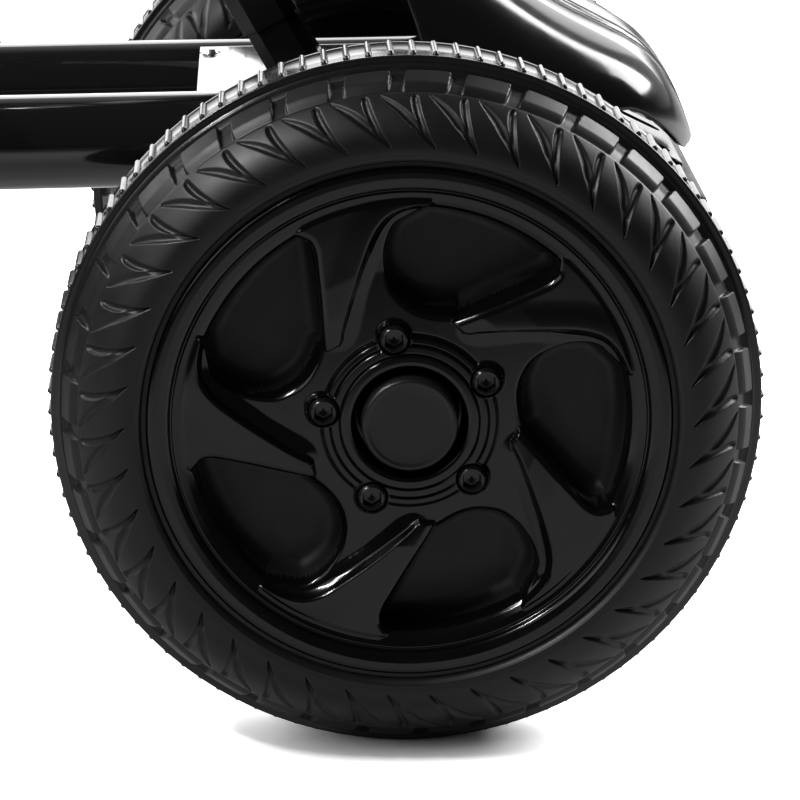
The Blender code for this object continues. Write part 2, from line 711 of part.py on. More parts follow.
def fairing_station(t):
    """Lower edge point, top point and half width of the nose at a station, 0 rear to 1 tip."""
    low_x = FRONT_X + (22.0 + 108.0 * t) * MM
    top_x = FRONT_X + (-14.0 + 148.5 * t) * MM
    drop = max(0.0, (t - 0.72) / 0.28)
    low_z = (229.0 - 29.0 * drop ** 1.6) * MM
    swell = max(0.0, 1.0 - t / 0.66)
    top_z = (316.0 + 30.0 * swell ** 2 - 80.0 * t - 33.0 * drop ** 3.5) * MM
    half_width = (84.0 * (1.0 - t ** 3.2) ** 0.5 + 14.0 * t) * MM
    return low_x, low_z, top_x, top_z, half_width


def nose_fairing():
    """Wedge-shaped nose shell, open below and behind."""
    def surface():
        shape = bmesh.new()
        rows = []
        for i in range(FAIRING_STATIONS):
            t = 1.0 - (1.0 - i / (FAIRING_STATIONS - 1)) ** 1.4
            low_x, low_z, top_x, top_z, half_width = fairing_station(t)
            row = []
            for j in range(2 * FAIRING_GIRTH - 1):
                angle = math.radians(90) * (j - FAIRING_GIRTH + 1) / (FAIRING_GIRTH - 1)
                across = abs(math.sin(angle)) ** 0.8 * math.copysign(1.0, angle)
                rise = abs(math.cos(angle)) ** 0.75
                row.append(shape.verts.new((low_x + (top_x - low_x) * rise, half_width * across,
                                            low_z + (top_z - low_z) * rise)))
            rows.append(row)
        for i in range(FAIRING_STATIONS - 1):
            for j in range(2 * FAIRING_GIRTH - 2):
                shape.faces.new((rows[i][j], rows[i + 1][j], rows[i + 1][j + 1], rows[i][j + 1]))
        return shape
    shell = mesh_object("nose_fairing", surface, GLOSS_PLASTIC)
    wall = shell.modifiers.new("wall", "SOLIDIFY")
    wall.thickness = FAIRING_WALL
    wall.offset = -1.0
    return shell


def nose_lip():
    """Slotted lower lip under the nose."""
    front = Vector((FRONT_X + 127.0 * MM, 0, 197.0 * MM))
    rear = Vector((FRONT_X + 82.0 * MM, 0, 220.0 * MM))
    run = front - rear
    slope = math.atan2(-run.z, run.x)
    lip = box("nose_lip", (run.length, 76.0 * MM, 3.5 * MM), GLOSS_PLASTIC,
              (front + rear) / 2 - Vector((0, 0, 2.0 * MM)), (0, slope, 0), edge=1.2 * MM)
    for side in (-1, 1):
        slot = as_mesh(plate("lip_slot_helper", rounded(30.0 * MM, 9.0 * MM, 4.4 * MM, 3),
                             20.0 * MM, None,
                             rear + run * 0.62 + Vector((0, side * 22.0 * MM, 0)),
                             (0, slope, 0), helper=True))
        cut(lip, slot)
    return lip


def peg_tube():
    """Cross tube under the rails that carries the pedal and the left foot rest."""
    tube = rod("peg_tube", PEG_R, 380.0 * MM, GLOSS_PAINT, (PEG_X, 0, PEG_Z), ALONG_Y, sides=20)
    rest = box("foot_rest_helper", (62.0 * MM, 84.0 * MM, 4.0 * MM), None,
               (PEG_X + 8.0 * MM, 138.0 * MM, PEG_Z + 13.0 * MM), (0, math.radians(-35), 0),
               helper=True)
    web = box("foot_rest_web_helper", (10.0 * MM, 60.0 * MM, 14.0 * MM), None,
              (PEG_X + 4.0 * MM, 138.0 * MM, PEG_Z + 7.0 * MM), helper=True)
    return join(tube, web, rest)


PEDAL_Y = -130.0 * MM
PEDAL_HALF = 26.0 * MM


def accelerator_pedal():
    """Right foot's pedal, turning on the cross tube."""
    sleeve_profile = [(PEG_R + 4.0 * MM, PEDAL_HALF), (PEG_R + 4.0 * MM, -PEDAL_HALF),
                      (PEG_R + 0.4 * MM, -PEDAL_HALF), (PEG_R + 0.4 * MM, PEDAL_HALF)]
    pedal = turned("accelerator_pedal", sleeve_profile, MATTE_PLASTIC, 20,
                   (PEG_X, PEDAL_Y, PEG_Z), ALONG_Y)
    lean = math.radians(14)
    reach = Vector((math.sin(lean), 0, math.cos(lean)))
    face = box("pedal_face_helper", (5.0 * MM, 50.0 * MM, 84.0 * MM), None,
               Vector((PEG_X, PEDAL_Y, PEG_Z)) + reach * 54.0 * MM, (0, lean, 0), helper=True)
    return join(pedal, face)


def pedal_spring():
    """Torsion spring wound on the cross tube beside the pedal."""
    turns, points_a_turn = 4, 10
    wire_radius = 1.0 * MM
    mean_radius = PEG_R + 2.2 * MM
    pitch = 2.7 * MM
    start_y = PEDAL_Y - PEDAL_HALF - 2.0 * MM
    points = [(PEG_X + mean_radius, start_y, PEG_Z + 12.0 * MM)]
    for i in range(turns * points_a_turn + 1):
        angle = math.tau * i / points_a_turn
        points.append((PEG_X + mean_radius * math.cos(angle), start_y - pitch * i / points_a_turn,
                       PEG_Z - mean_radius * math.sin(angle)))
    print(f"pedal spring: least gap between curls {(pitch - 2 * wire_radius) / MM:.2f} mm")
    return curve_object("pedal_spring", points, wire_radius, ZINC, sides_level=1)


for label, side in SIDES:
    frame_rail(label, side)
    foot_plate_screw(label)
foot_plate()
front_bumper()
nose_fairing()
nose_lip()
peg_tube()
accelerator_pedal()
pedal_spring()


# Seat
SEAT_LINE = [(-45, 300), (-58, 309), (-80, 312), (-140, 303), (-200, 293), (-240, 290), (-264, 295),
             (-282, 312), (-296, 345), (-310, 395), (-322, 450), (-334, 505), (-341, 545),
             (-345, 566)]
SEAT_HALF_WIDTHS = [86, 98, 108, 120, 127, 130, 131, 131, 130, 128, 124, 114, 102, 84]
SEAT_BOLSTERS = [4, 10, 18, 34, 46, 50, 50, 48, 46, 44, 38, 26, 14, 5]
SEAT_WALL = 3.5 * MM
TRACK_TOP = RAIL_TOP + GAP + 4.0 * MM
GUIDE_HIGH = 18.0 * MM
CLAMP_Z = TRACK_TOP + 13.4 * MM
GUIDE_HALF = 30.0 * MM
CARRIAGE_TOP = 289.6 * MM
BRAKE_X = -205.0 * MM
BRAKE_Z = 257.0 * MM


def seat_shell():
    """Moulded bucket seat with raised sides."""
    def surface():
        shape = bmesh.new()
        line = [Vector((x * MM, 0, z * MM)) for x, z in SEAT_LINE]
        columns = 11
        rows = []
        for i, middle in enumerate(line):
            ahead = line[min(i + 1, len(line) - 1)] - line[max(i - 1, 0)]
            normal = Vector((-ahead.z, 0, ahead.x)).normalized() * -1.0
            row = []
            for j in range(columns):
                across = 2.0 * j / (columns - 1) - 1.0
                lift = SEAT_BOLSTERS[i] * MM * abs(across) ** 2.6
                point = middle + normal * lift
                point.y = SEAT_HALF_WIDTHS[i] * MM * across
                row.append(shape.verts.new(point))
            rows.append(row)
        for i in range(len(rows) - 1):
            for j in range(columns - 1):
                shape.faces.new((rows[i][j], rows[i][j + 1], rows[i + 1][j + 1], rows[i + 1][j]))
        return shape
    shell = mesh_object("seat_shell", surface, GLOSS_PLASTIC)
    wall = shell.modifiers.new("wall", "SOLIDIFY")
    wall.thickness = SEAT_WALL
    wall.offset = 1.0
    return shell


def seat_track():
    """Base plate on the rails with the guide bar and the brake lever's pivot ear."""
    middle_x, half_long, half_wide = -155.0 * MM, 80.0 * MM, 74.0 * MM
    base = box("seat_track", (2 * half_long, 2 * half_wide, 4.0 * MM), GLOSS_PAINT,
               (middle_x, 0, RAIL_TOP + GAP + 2.0 * MM))
    wing = box("wing_helper", (26.0 * MM, 30.0 * MM, 3.4 * MM), None,
               (BRAKE_X, -77.0 * MM, RAIL_TOP + GAP + 2.0 * MM), helper=True)
    guide = box("guide_helper", (2 * half_long - 4.0 * MM, 2 * GUIDE_HALF, GUIDE_HIGH + 2.0 * MM), None,
                (middle_x, 0, TRACK_TOP + GUIDE_HIGH / 2 - 1.0 * MM), helper=True)
    ear = box("ear_helper", (22.0 * MM, 6.0 * MM, 28.0 * MM), None,
              (BRAKE_X, -86.0 * MM, TRACK_TOP + 12.0 * MM), helper=True)
    bore = rod("ear_bore_helper", 6.5 * MM, 40.0 * MM, None, (BRAKE_X, -86.0 * MM, BRAKE_Z),
               ALONG_Y, helper=True, sides=16)
    join(base, guide, wing, ear)
    return cut(base, bore)


def seat_carriage():
    """Sliding channel over the guide bar, with the seat's pedestal."""
    wall = 5.0 * MM
    low = TRACK_TOP + GAP
    high = TRACK_TOP + GUIDE_HIGH + 5.0 * MM
    channel = box("seat_carriage", (100.0 * MM, 2 * (GUIDE_HALF + GAP + wall), high - low), DARK_STEEL,
                  (-180.0 * MM, 0, (high + low) / 2))
    pedestal = box("pedestal_helper", (70.0 * MM, 50.0 * MM, CARRIAGE_TOP - high + 4.0 * MM), None,
                   (-205.0 * MM, 0, (CARRIAGE_TOP + high - 4.0 * MM) / 2), helper=True)
    groove = box("groove_helper", (200.0 * MM, 2 * (GUIDE_HALF + GAP), 2 * (GUIDE_HIGH + GAP)), None,
                 (-180.0 * MM, 0, TRACK_TOP), helper=True)
    hole = rod("knob_hole_helper", 3.3 * MM, 30.0 * MM, None,
               (-150.0 * MM, -(GUIDE_HALF + 8.0 * MM), CLAMP_Z), ALONG_Y, helper=True,
               sides=12)
    join(channel, pedestal)
    return cut(channel, groove, hole)


def seat_clamp_knob():
    """Star knob whose stud clamps the seat on its guide."""
    lobes = 5
    outline = []
    for i in range(4 * lobes):
        angle = math.tau * i / (4 * lobes)
        radius = (11.0 + 1.7 * math.cos(lobes * angle)) * MM
        outline.append((radius * math.cos(angle), radius * math.sin(angle)))
    inner = GUIDE_HALF + 0.8 * MM
    stud_end = GUIDE_HALF + 19.0 * MM
    knob_y = GUIDE_HALF + 22.0 * MM
    knob = as_mesh(plate("seat_clamp_knob", outline, 12.0 * MM, MATTE_PLASTIC,
                         (-150.0 * MM, -knob_y, CLAMP_Z), ALONG_Y))
    stud = rod("knob_stud_helper", 3.0 * MM, stud_end - inner, None,
               (-150.0 * MM, -(stud_end + inner) / 2, CLAMP_Z), ALONG_Y, helper=True, sides=10)
    return join(knob, stud)


def brake_lever():
    """Hand lever, cross shaft and shoe that rubs on the right rear tyre."""
    handle = as_mesh(curve_object("brake_lever",
                                  [(BRAKE_X, -146.0 * MM, BRAKE_Z),
                                   (BRAKE_X + 6.0 * MM, -148.0 * MM, BRAKE_Z + 40.0 * MM),
                                   (BRAKE_X + 22.0 * MM, -152.0 * MM, BRAKE_Z + 95.0 * MM),
                                   (BRAKE_X + 40.0 * MM, -156.0 * MM, BRAKE_Z + 150.0 * MM),
                                   (BRAKE_X + 50.0 * MM, -157.0 * MM, BRAKE_Z + 195.0 * MM)],
                                  5.0 * MM, DARK_STEEL))
    grip_low = Vector((BRAKE_X + 34.0 * MM, -155.0 * MM, BRAKE_Z + 130.0 * MM))
    grip_high = Vector((BRAKE_X + 51.0 * MM, -157.0 * MM, BRAKE_Z + 200.0 * MM))
    grip_run = grip_high - grip_low
    grip = rod("lever_grip_helper", 9.0 * MM, grip_run.length, None, (grip_low + grip_high) / 2,
               grip_run.to_track_quat("Z", "Y").to_euler(), helper=True, sides=14,
               tip_radius=10.5 * MM)
    shaft = rod("lever_shaft_helper", 6.0 * MM, 136.0 * MM, None,
                (BRAKE_X, -147.0 * MM, BRAKE_Z), ALONG_Y, helper=True, sides=14)
    contact = math.radians(60.0)
    reach = TYRE_R + 12.5 * MM
    shoe_spot = Vector((REAR_X + reach * math.cos(contact), -WHEEL_Y, AXLE_Z + reach * math.sin(contact)))
    shoe = box("shoe_helper", (30.0 * MM, 46.0 * MM, 10.0 * MM), None, shoe_spot,
               (0, math.radians(90) - contact, 0), helper=True)
    pivot = Vector((BRAKE_X, -WHEEL_Y, BRAKE_Z))
    arm_run = pivot - shoe_spot
    arm = box("shoe_arm_helper", (arm_run.length + 12.0 * MM, 14.0 * MM, 8.0 * MM), None,
              (pivot + shoe_spot) / 2 + Vector((0, 0, 2.0 * MM)),
              (0, -math.atan2(arm_run.z, arm_run.x), 0), helper=True)
    return join(handle, grip, shaft, shoe, arm)


seat_shell()
seat_track()
seat_carriage()
seat_clamp_knob()
brake_lever()


# Rear axle, drive and battery
GEAR_TEETH = 28
PINION_TEETH = 7
GEAR_MODULE = 3.4 * MM
GEAR_Y = -22.0 * MM
GEAR_FACE = 9.0 * MM
MOTOR_X = REAR_X + GEAR_MODULE * (GEAR_TEETH + PINION_TEETH) / 2
BOX_LOW = RAIL_TOP + GAP
BOX_HIGH = BOX_LOW + 78.0 * MM
BOX_REAR = -456.0 * MM
BOX_FRONT = -346.0 * MM
BOX_HALF = 84.0 * MM
BOX_WALL = 3.0 * MM
LID_THICK = 6.0 * MM
HINGE_R = 4.0 * MM
HINGE_X = BOX_REAR - 5.0 * MM
HINGE_Z = BOX_HIGH + 3.0 * MM
PANEL_Z = BOX_LOW + 44.0 * MM


def gear_outline(teeth, phase):
    """Tooth tips and roots of a coarse spur gear."""
    pitch_radius = GEAR_MODULE * teeth / 2
    tip, root = pitch_radius + 2.5 * MM, pitch_radius - 3.5 * MM
    points = []
    for tooth in range(teeth):
        middle = phase + math.tau * tooth / teeth
        for radius, share in ((root, -0.25), (tip, -0.1), (tip, 0.1), (root, 0.25)):
            angle = middle + share * math.tau / teeth
            points.append((radius * math.cos(angle), radius * math.sin(angle)))
    return points


def drive_gear():
    """Large gear keyed on the rear axle."""
    gear = as_mesh(plate("drive_gear", gear_outline(GEAR_TEETH, 0.0), GEAR_FACE, NYLON,
                         (REAR_X, GEAR_Y, AXLE_Z), ALONG_Y))
    bore = rod("gear_bore_helper", AXLE_R + GAP, 40.0 * MM, None, (REAR_X, GEAR_Y, AXLE_Z),
               ALONG_Y, helper=True, sides=20)
    return cut(gear, bore)


def motor_pinion():
    """Pinion on the motor's shaft."""
    pinion = as_mesh(plate("motor_pinion", gear_outline(PINION_TEETH, math.pi + math.pi / PINION_TEETH),
                           GEAR_FACE, DARK_STEEL, (MOTOR_X, GEAR_Y, AXLE_Z), ALONG_Y))
    shaft = rod("pinion_shaft_helper", 4.0 * MM, 24.0 * MM, None,
                (MOTOR_X, GEAR_Y + 11.0 * MM, AXLE_Z), ALONG_Y, helper=True, sides=12)
    return join(pinion, shaft)


def motor():
    """Drive motor hung from a cross plate under the rails."""
    front_y, back_y = -6.0 * MM, 80.0 * MM
    can = rod("motor", 30.0 * MM, back_y - front_y, DARK_STEEL,
              (MOTOR_X, (front_y + back_y) / 2, AXLE_Z), ALONG_Y, sides=24)
    plate_top = RAIL_BOTTOM - GAP
    hanger = box("motor_web_helper", (24.0 * MM, 60.0 * MM, plate_top - AXLE_Z - 20.0 * MM), None,
                 (MOTOR_X, 34.0 * MM, (plate_top + AXLE_Z + 20.0 * MM) / 2), helper=True)
    cross = box("motor_plate_helper", (34.0 * MM, 150.0 * MM, 5.0 * MM), None,
                (MOTOR_X, 0, plate_top - 2.5 * MM), helper=True)
    bore = rod("motor_bore_helper", 4.4 * MM, 24.0 * MM, None, (MOTOR_X, front_y, AXLE_Z),
               ALONG_Y, helper=True, sides=12)
    join(can, hanger, cross)
    return cut(can, bore)


def bearing_block(label, side):
    """Pillow block under a rail that carries the rear axle."""
    top = RAIL_BOTTOM - GAP
    low = AXLE_Z - 22.0 * MM
    block = box(f"rear_bearing_{label}", (44.0 * MM, 24.0 * MM, top - low), GLOSS_PAINT,
                (REAR_X, side * RAIL_Y, (top + low) / 2))
    bore = rod("bearing_bore_helper", AXLE_R + GAP, 60.0 * MM, None,
               (REAR_X, side * RAIL_Y, AXLE_Z), ALONG_Y, helper=True, sides=20)
    return cut(block, bore)


def battery_box():
    """Open tub behind the seat with hinge ears, a switch window and a charging inlet hole."""
    tub = box("battery_box", (BOX_FRONT - BOX_REAR, 2 * BOX_HALF, BOX_HIGH - BOX_LOW), MATTE_PLASTIC,
              ((BOX_FRONT + BOX_REAR) / 2, 0, (BOX_HIGH + BOX_LOW) / 2))
    inside = box("tub_inside_helper", (BOX_FRONT - BOX_REAR - 2 * BOX_WALL, 2 * (BOX_HALF - BOX_WALL),
                                       BOX_HIGH - BOX_LOW), None,
                 ((BOX_FRONT + BOX_REAR) / 2, 0, (BOX_HIGH + BOX_LOW) / 2 + BOX_WALL), helper=True)
    window = box("switch_window_helper", (20.0 * MM, 15.0 * MM, 22.0 * MM), None,
                 (BOX_REAR, -40.0 * MM, PANEL_Z), helper=True)
    inlet = rod("inlet_hole_helper", 7.0 * MM, 20.0 * MM, None, (BOX_REAR, 40.0 * MM, PANEL_Z),
                ALONG_X, helper=True, sides=14)
    for side in (-1, 1):
        ear_outline = [(-9.0 * MM, -10.0 * MM), (2.0 * MM, -10.0 * MM), (2.0 * MM, -3.0 * MM),
                       (-2.0 * MM, 0.5 * MM), (-2.0 * MM, 6.0 * MM), (-9.0 * MM, 6.0 * MM)]
        ear = as_mesh(plate("hinge_ear_helper", ear_outline, 6.0 * MM, None,
                            (BOX_REAR, side * 34.5 * MM, BOX_HIGH), ALONG_Y, helper=True))
        join(tub, ear)
    catch = box("catch_helper", (7.0 * MM, 22.0 * MM, 6.0 * MM), None,
                (BOX_FRONT + 1.5 * MM, 0, BOX_HIGH - 18.0 * MM), helper=True)
    return join(cut(tub, inside, window, inlet), catch)


def battery():
    """Sealed battery with its two terminals."""
    low = BOX_LOW + BOX_WALL + GAP
    case = box("battery", (92.0 * MM, 148.0 * MM, 60.0 * MM), MATTE_PLASTIC,
               ((BOX_FRONT + BOX_REAR) / 2, 0, low + 30.0 * MM), edge=2.0 * MM)
    for side in (-1, 1):
        terminal = box("terminal_helper", (6.0 * MM, 8.0 * MM, 12.0 * MM), None,
                       ((BOX_FRONT + BOX_REAR) / 2 + 30.0 * MM, side * 55.0 * MM, low + 62.0 * MM),
                       helper=True)
        join(case, terminal)
    return case


def battery_lid():
    """Lid with its hinge barrel along the rear edge."""
    low = BOX_HIGH + GAP
    lid = box("battery_lid", (BOX_FRONT - BOX_REAR, 2 * BOX_HALF + 4.0 * MM, LID_THICK),
              MATTE_PLASTIC, ((BOX_FRONT + BOX_REAR) / 2, 0, low + LID_THICK / 2), edge=1.0 * MM)
    tongue = box("lid_tongue_helper", (8.0 * MM, 58.0 * MM, 4.0 * MM), None,
                 (BOX_REAR - 1.0 * MM, 0, HINGE_Z), helper=True)
    barrel = rod("lid_barrel_helper", HINGE_R, 60.0 * MM, None, (HINGE_X, 0, HINGE_Z), ALONG_Y,
                 helper=True, sides=12)
    return join(lid, tongue, barrel)


def lid_latch():
    """Angle-shaped toggle that hangs over the lid's front edge and the tub's catch."""
    leaf_low = BOX_HIGH + LID_THICK + 2 * GAP
    leaf_rear, front = -7.0 * MM, 8.6 * MM
    outline = [(leaf_rear, 0), (leaf_rear, 3.0 * MM), (front, 3.0 * MM), (front, -30.0 * MM),
               (front - 3.0 * MM, -30.0 * MM), (front - 3.0 * MM, 0)]
    return as_mesh(plate("lid_latch", outline, 26.0 * MM, DARK_STEEL, (BOX_FRONT, 0, leaf_low), ALONG_Y))


def power_switch():
    """Rocker in the rear wall."""
    return box("power_switch", (7.0 * MM, 13.0 * MM, 19.0 * MM), GLOSS_PLASTIC,
               (BOX_REAR - 1.0 * MM, -40.0 * MM, PANEL_Z), edge=1.0 * MM)


def charge_cap():
    """Flap that hangs over the charging inlet."""
    return box("charge_cap", (3.0 * MM, 24.0 * MM, 26.0 * MM), GRIP_RUBBER,
               (BOX_REAR - 2.0 * MM, 40.0 * MM, PANEL_Z), edge=1.0 * MM)


def rear_axle():
    return rod("rear_axle", AXLE_R, 2 * STUB_TIP_Y, ZINC, (REAR_X, 0, AXLE_Z), ALONG_Y, sides=20)


drive_gear()
motor_pinion()
motor()
for label, side in SIDES:
    bearing_block(label, side)
battery_box()
battery()
battery_lid()
lid_latch()
power_switch()
charge_cap()
rear_axle()
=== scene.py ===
"""Looks of the small electric drift kart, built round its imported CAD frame.

+X is the driving direction, +Y the kart's left side, +Z up, and the ground is Z = 0.  Sizes
are in metres; a wheel's own frame has +Z pointing out of the kart from the wheel's middle
plane, and the shapes drawn in it are written in millimetres and scaled by MM.
"""

import json
import math

import bmesh
import bpy
import numpy as np
from mathutils import Matrix, Vector

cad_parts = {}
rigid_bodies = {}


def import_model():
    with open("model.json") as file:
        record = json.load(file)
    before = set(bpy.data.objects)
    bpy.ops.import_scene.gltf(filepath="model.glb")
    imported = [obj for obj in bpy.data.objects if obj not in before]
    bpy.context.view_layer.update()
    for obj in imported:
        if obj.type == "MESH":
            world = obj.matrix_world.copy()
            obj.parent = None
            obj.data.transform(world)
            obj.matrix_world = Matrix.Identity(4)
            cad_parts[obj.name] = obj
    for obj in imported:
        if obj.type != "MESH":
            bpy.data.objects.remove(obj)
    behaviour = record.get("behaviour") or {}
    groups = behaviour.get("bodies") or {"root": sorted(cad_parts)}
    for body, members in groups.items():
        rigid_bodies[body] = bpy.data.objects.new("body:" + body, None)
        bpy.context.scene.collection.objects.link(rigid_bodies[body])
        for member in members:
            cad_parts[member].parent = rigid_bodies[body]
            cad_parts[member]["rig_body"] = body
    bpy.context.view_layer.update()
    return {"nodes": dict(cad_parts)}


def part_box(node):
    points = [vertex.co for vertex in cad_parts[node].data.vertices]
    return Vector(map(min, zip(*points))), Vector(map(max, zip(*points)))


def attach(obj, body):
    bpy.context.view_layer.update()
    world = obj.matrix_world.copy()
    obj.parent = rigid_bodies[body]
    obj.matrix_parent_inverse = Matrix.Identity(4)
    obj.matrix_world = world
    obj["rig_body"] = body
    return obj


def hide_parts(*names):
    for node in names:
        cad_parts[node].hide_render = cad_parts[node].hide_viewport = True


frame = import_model()

MM = 0.001
SIDES = (("right", -1.0), ("left", 1.0))


def box_middle(node):
    """Middle of a CAD node's box, in metres."""
    low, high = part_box(node)
    return (low + high) / 2


# Places read from the frame
TYRE_R = (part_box("front_tyre_right")[1].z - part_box("front_tyre_right")[0].z) / 2
FRONT_X = box_middle("front_rim_right").x
REAR_X = box_middle("rear_rim_right").x
AXLE_Z = TYRE_R
# Places that the boxes in the frame don't give: the wheels' middle planes and the column's axis
WHEEL_Y = 198.3 * MM
COLUMN_TILT = math.radians(28.4)
COLUMN_FOOT = Vector((315.4 * MM, 0.0, 192.0 * MM))
COLUMN_UP = Vector((-math.sin(COLUMN_TILT), 0.0, math.cos(COLUMN_TILT)))


# ---------------------------------------------------------------- materials

# Numbers of the Mix node's colour sockets
MIX_A, MIX_B, MIX_OUT = 6, 7, 2
# The gloss varies in patches this much finer than the colour's, and no surface is smoother
# than the second value
GLOSS_FINENESS, SMOOTHEST = 2.3, 0.02


def node_tools(tree):
    """Two small helpers that add nodes to a tree and link them."""
    def add(kind, links=(), **values):
        node = tree.nodes.new(kind)
        for key, value in values.items():
            if key in node.inputs:
                node.inputs[key].default_value = value
            else:
                setattr(node, key, value)
        for socket, source in links:
            tree.links.new(source, node.inputs[socket])
        return node

    def link(source, socket):
        tree.links.new(source, socket)
    return add, link


def node_material(name):
    """A new material, its shader and the helpers for its nodes."""
    material = bpy.data.materials.new(name)
    material.use_nodes = True
    tree = material.node_tree
    return material, tree.nodes["Principled BSDF"], *node_tools(tree)


def from_to(from_low, from_high, to_low, to_high):
    """The values of a Map Range node."""
    return {"From Min": from_low, "From Max": from_high, "To Min": to_low, "To Max": to_high}


def finish(name, colour, roughness, metallic=0.0, ior=1.5, coat=0.0, coat_roughness=0.05,
           blotch=40.0, blotch_share=0.2, rough_spread=0.06, grain=1.2, grain_depth=0.01,
           cells=False):
    """A surface with its own colour blotches, uneven gloss and fine relief.

    blotch and grain are the sizes in millimetres of the colour patches and of the relief.
    blotch_share and rough_spread are how far the colour and the roughness stray from their
    middle values, and grain_depth is how deep the relief goes, in millimetres.
    """
    material, shader, add, link = node_material(name)
    place = add("ShaderNodeTexCoord")
    scaled = add("ShaderNodeMapping", [("Vector", place.outputs["Object"])],
                 Scale=(1.0 / MM, 1.0 / MM, 1.0 / MM))
    in_mm = [("Vector", scaled.outputs["Vector"])]
    patches = add("ShaderNodeTexNoise", in_mm, Scale=1.0 / blotch, Detail=6.0, Roughness=0.6)
    tint = add("ShaderNodeMix", [("Factor", patches.outputs["Fac"])], data_type="RGBA")
    for socket, share in ((MIX_A, 1.0 - blotch_share), (MIX_B, 1.0 + blotch_share)):
        tint.inputs[socket].default_value = tuple(c * share for c in colour) + (1.0,)
    link(tint.outputs[MIX_OUT], shader.inputs["Base Color"])
    gloss = add("ShaderNodeTexNoise", in_mm, Scale=GLOSS_FINENESS / blotch, Detail=8.0,
                Roughness=0.7)
    smoothest = max(SMOOTHEST, roughness - rough_spread)
    spread = add("ShaderNodeMapRange", [("Value", gloss.outputs["Fac"])],
                 **from_to(0.3, 0.7, smoothest, roughness + rough_spread))
    link(spread.outputs["Result"], shader.inputs["Roughness"])
    if cells:
        height = add("ShaderNodeTexVoronoi", in_mm, Scale=1.0 / grain).outputs["Distance"]
    else:
        height = add("ShaderNodeTexNoise", in_mm, Scale=1.0 / grain, Detail=3.0,
                     Roughness=0.55).outputs["Fac"]
    bump = add("ShaderNodeBump", [("Height", height)], Strength=1.0, Distance=grain_depth * MM)
    link(bump.outputs["Normal"], shader.inputs["Normal"])
    for socket, value in (("Metallic", metallic), ("IOR", ior), ("Coat Weight", coat),
                          ("Coat Roughness", coat_roughness)):
        shader.inputs[socket].default_value = value
    return material


GLOSS_PAINT = finish("gloss_black_paint", (0.006, 0.006, 0.0065), 0.10, coat=0.5, blotch=60,
                     blotch_share=0.15, rough_spread=0.04, grain=3.0, grain_depth=0.012)
NOSE_GLOSS = finish("nose_gloss_plastic", (0.005, 0.005, 0.0054), 0.15, blotch=80,
                    rough_spread=0.05, grain=5.0, grain_depth=0.02)
RIM_GLOSS = finish("rim_gloss_plastic", (0.0020, 0.0020, 0.0022), 0.13, ior=1.42, blotch=30,
                   grain=7.0, grain_depth=0.03)
RIM_POCKET = finish("rim_pocket_satin", (0.011, 0.011, 0.0115), 0.5, ior=1.4, blotch=22,
                    grain=0.5, grain_depth=0.03)
CAP_SATIN = finish("hub_cap_satin", (0.009, 0.009, 0.0095), 0.36, ior=1.42, blotch=18,
                   rough_spread=0.05, grain=0.45, grain_depth=0.02)
TYRE_RUBBER = finish("tyre_rubber", (0.0055, 0.0055, 0.006), 0.42, ior=1.42, blotch=26,
                     blotch_share=0.3, grain=0.5, grain_depth=0.045)
TREAD_RUBBER = finish("tread_rubber", (0.010, 0.010, 0.0105), 0.22, coat=0.1,
                      coat_roughness=0.12, blotch=14, rough_spread=0.05, grain=0.9,
                      grain_depth=0.005)
SLICK_RUBBER = finish("slick_rubber", (0.012, 0.012, 0.0125), 0.38, ior=1.45, blotch=20,
                      blotch_share=0.35, rough_spread=0.12, grain=0.8, grain_depth=0.03)
SATIN_PLASTIC = finish("satin_black_plastic", (0.013, 0.013, 0.0135), 0.48, ior=1.45,
                       blotch=35, grain=0.7, grain_depth=0.05, cells=True)
SEAT_PLASTIC = finish("seat_plastic", (0.012, 0.012, 0.0125), 0.34, ior=1.48, blotch=50,
                      rough_spread=0.07, grain=1.1, grain_depth=0.06, cells=True)
GRIP_RUBBER = finish("grip_rubber", (0.014, 0.014, 0.0145), 0.7, ior=1.42, blotch=16,
                     grain=1.4, grain_depth=0.16, cells=True)
ZINC = finish("zinc_plated_steel", (0.52, 0.52, 0.53), 0.33, metallic=1.0, blotch=9,
              blotch_share=0.12, rough_spread=0.1, grain=0.6, grain_depth=0.015)
BLACK_STEEL = finish("black_oxide_steel", (0.03, 0.03, 0.031), 0.36, metallic=0.7, blotch=8,
                     rough_spread=0.1, grain=0.5, grain_depth=0.012)
BOLT_BLACK = finish("bolt_black", (0.006, 0.006, 0.0065), 0.2, ior=1.45, blotch=5, grain=0.7)
NYLON = finish("grey_nylon", (0.30, 0.30, 0.31), 0.5, ior=1.53, blotch=12, blotch_share=0.06,
               grain=0.6, grain_depth=0.02)


# ---------------------------------------------------------------- mesh helpers

# Further than any gap on the kart, and a length too small to matter, in any unit used here
FAR, TINY = 1e9, 1e-6


def smooth_step(value):
    """0 to 1 with a gentle start and end; values outside are held at the ends."""
    value = np.clip(value, 0.0, 1.0)
    return value * value * (3.0 - 2.0 * value)


def grid_faces(rows, columns, wrap_columns=True, wrap_rows=False, flip=False):
    """Quads of a grid of rows x columns points, as an array of point numbers."""
    row_count = rows if wrap_rows else rows - 1
    column_count = columns if wrap_columns else columns - 1
    i, j = np.meshgrid(np.arange(row_count), np.arange(column_count), indexing="ij")
    i2, j2 = (i + 1) % rows, (j + 1) % columns
    corners = (i * columns + j, i * columns + j2, i2 * columns + j2, i2 * columns + j)
    if flip:
        corners = corners[::-1]
    return np.stack(corners, axis=-1).reshape(-1, 4)


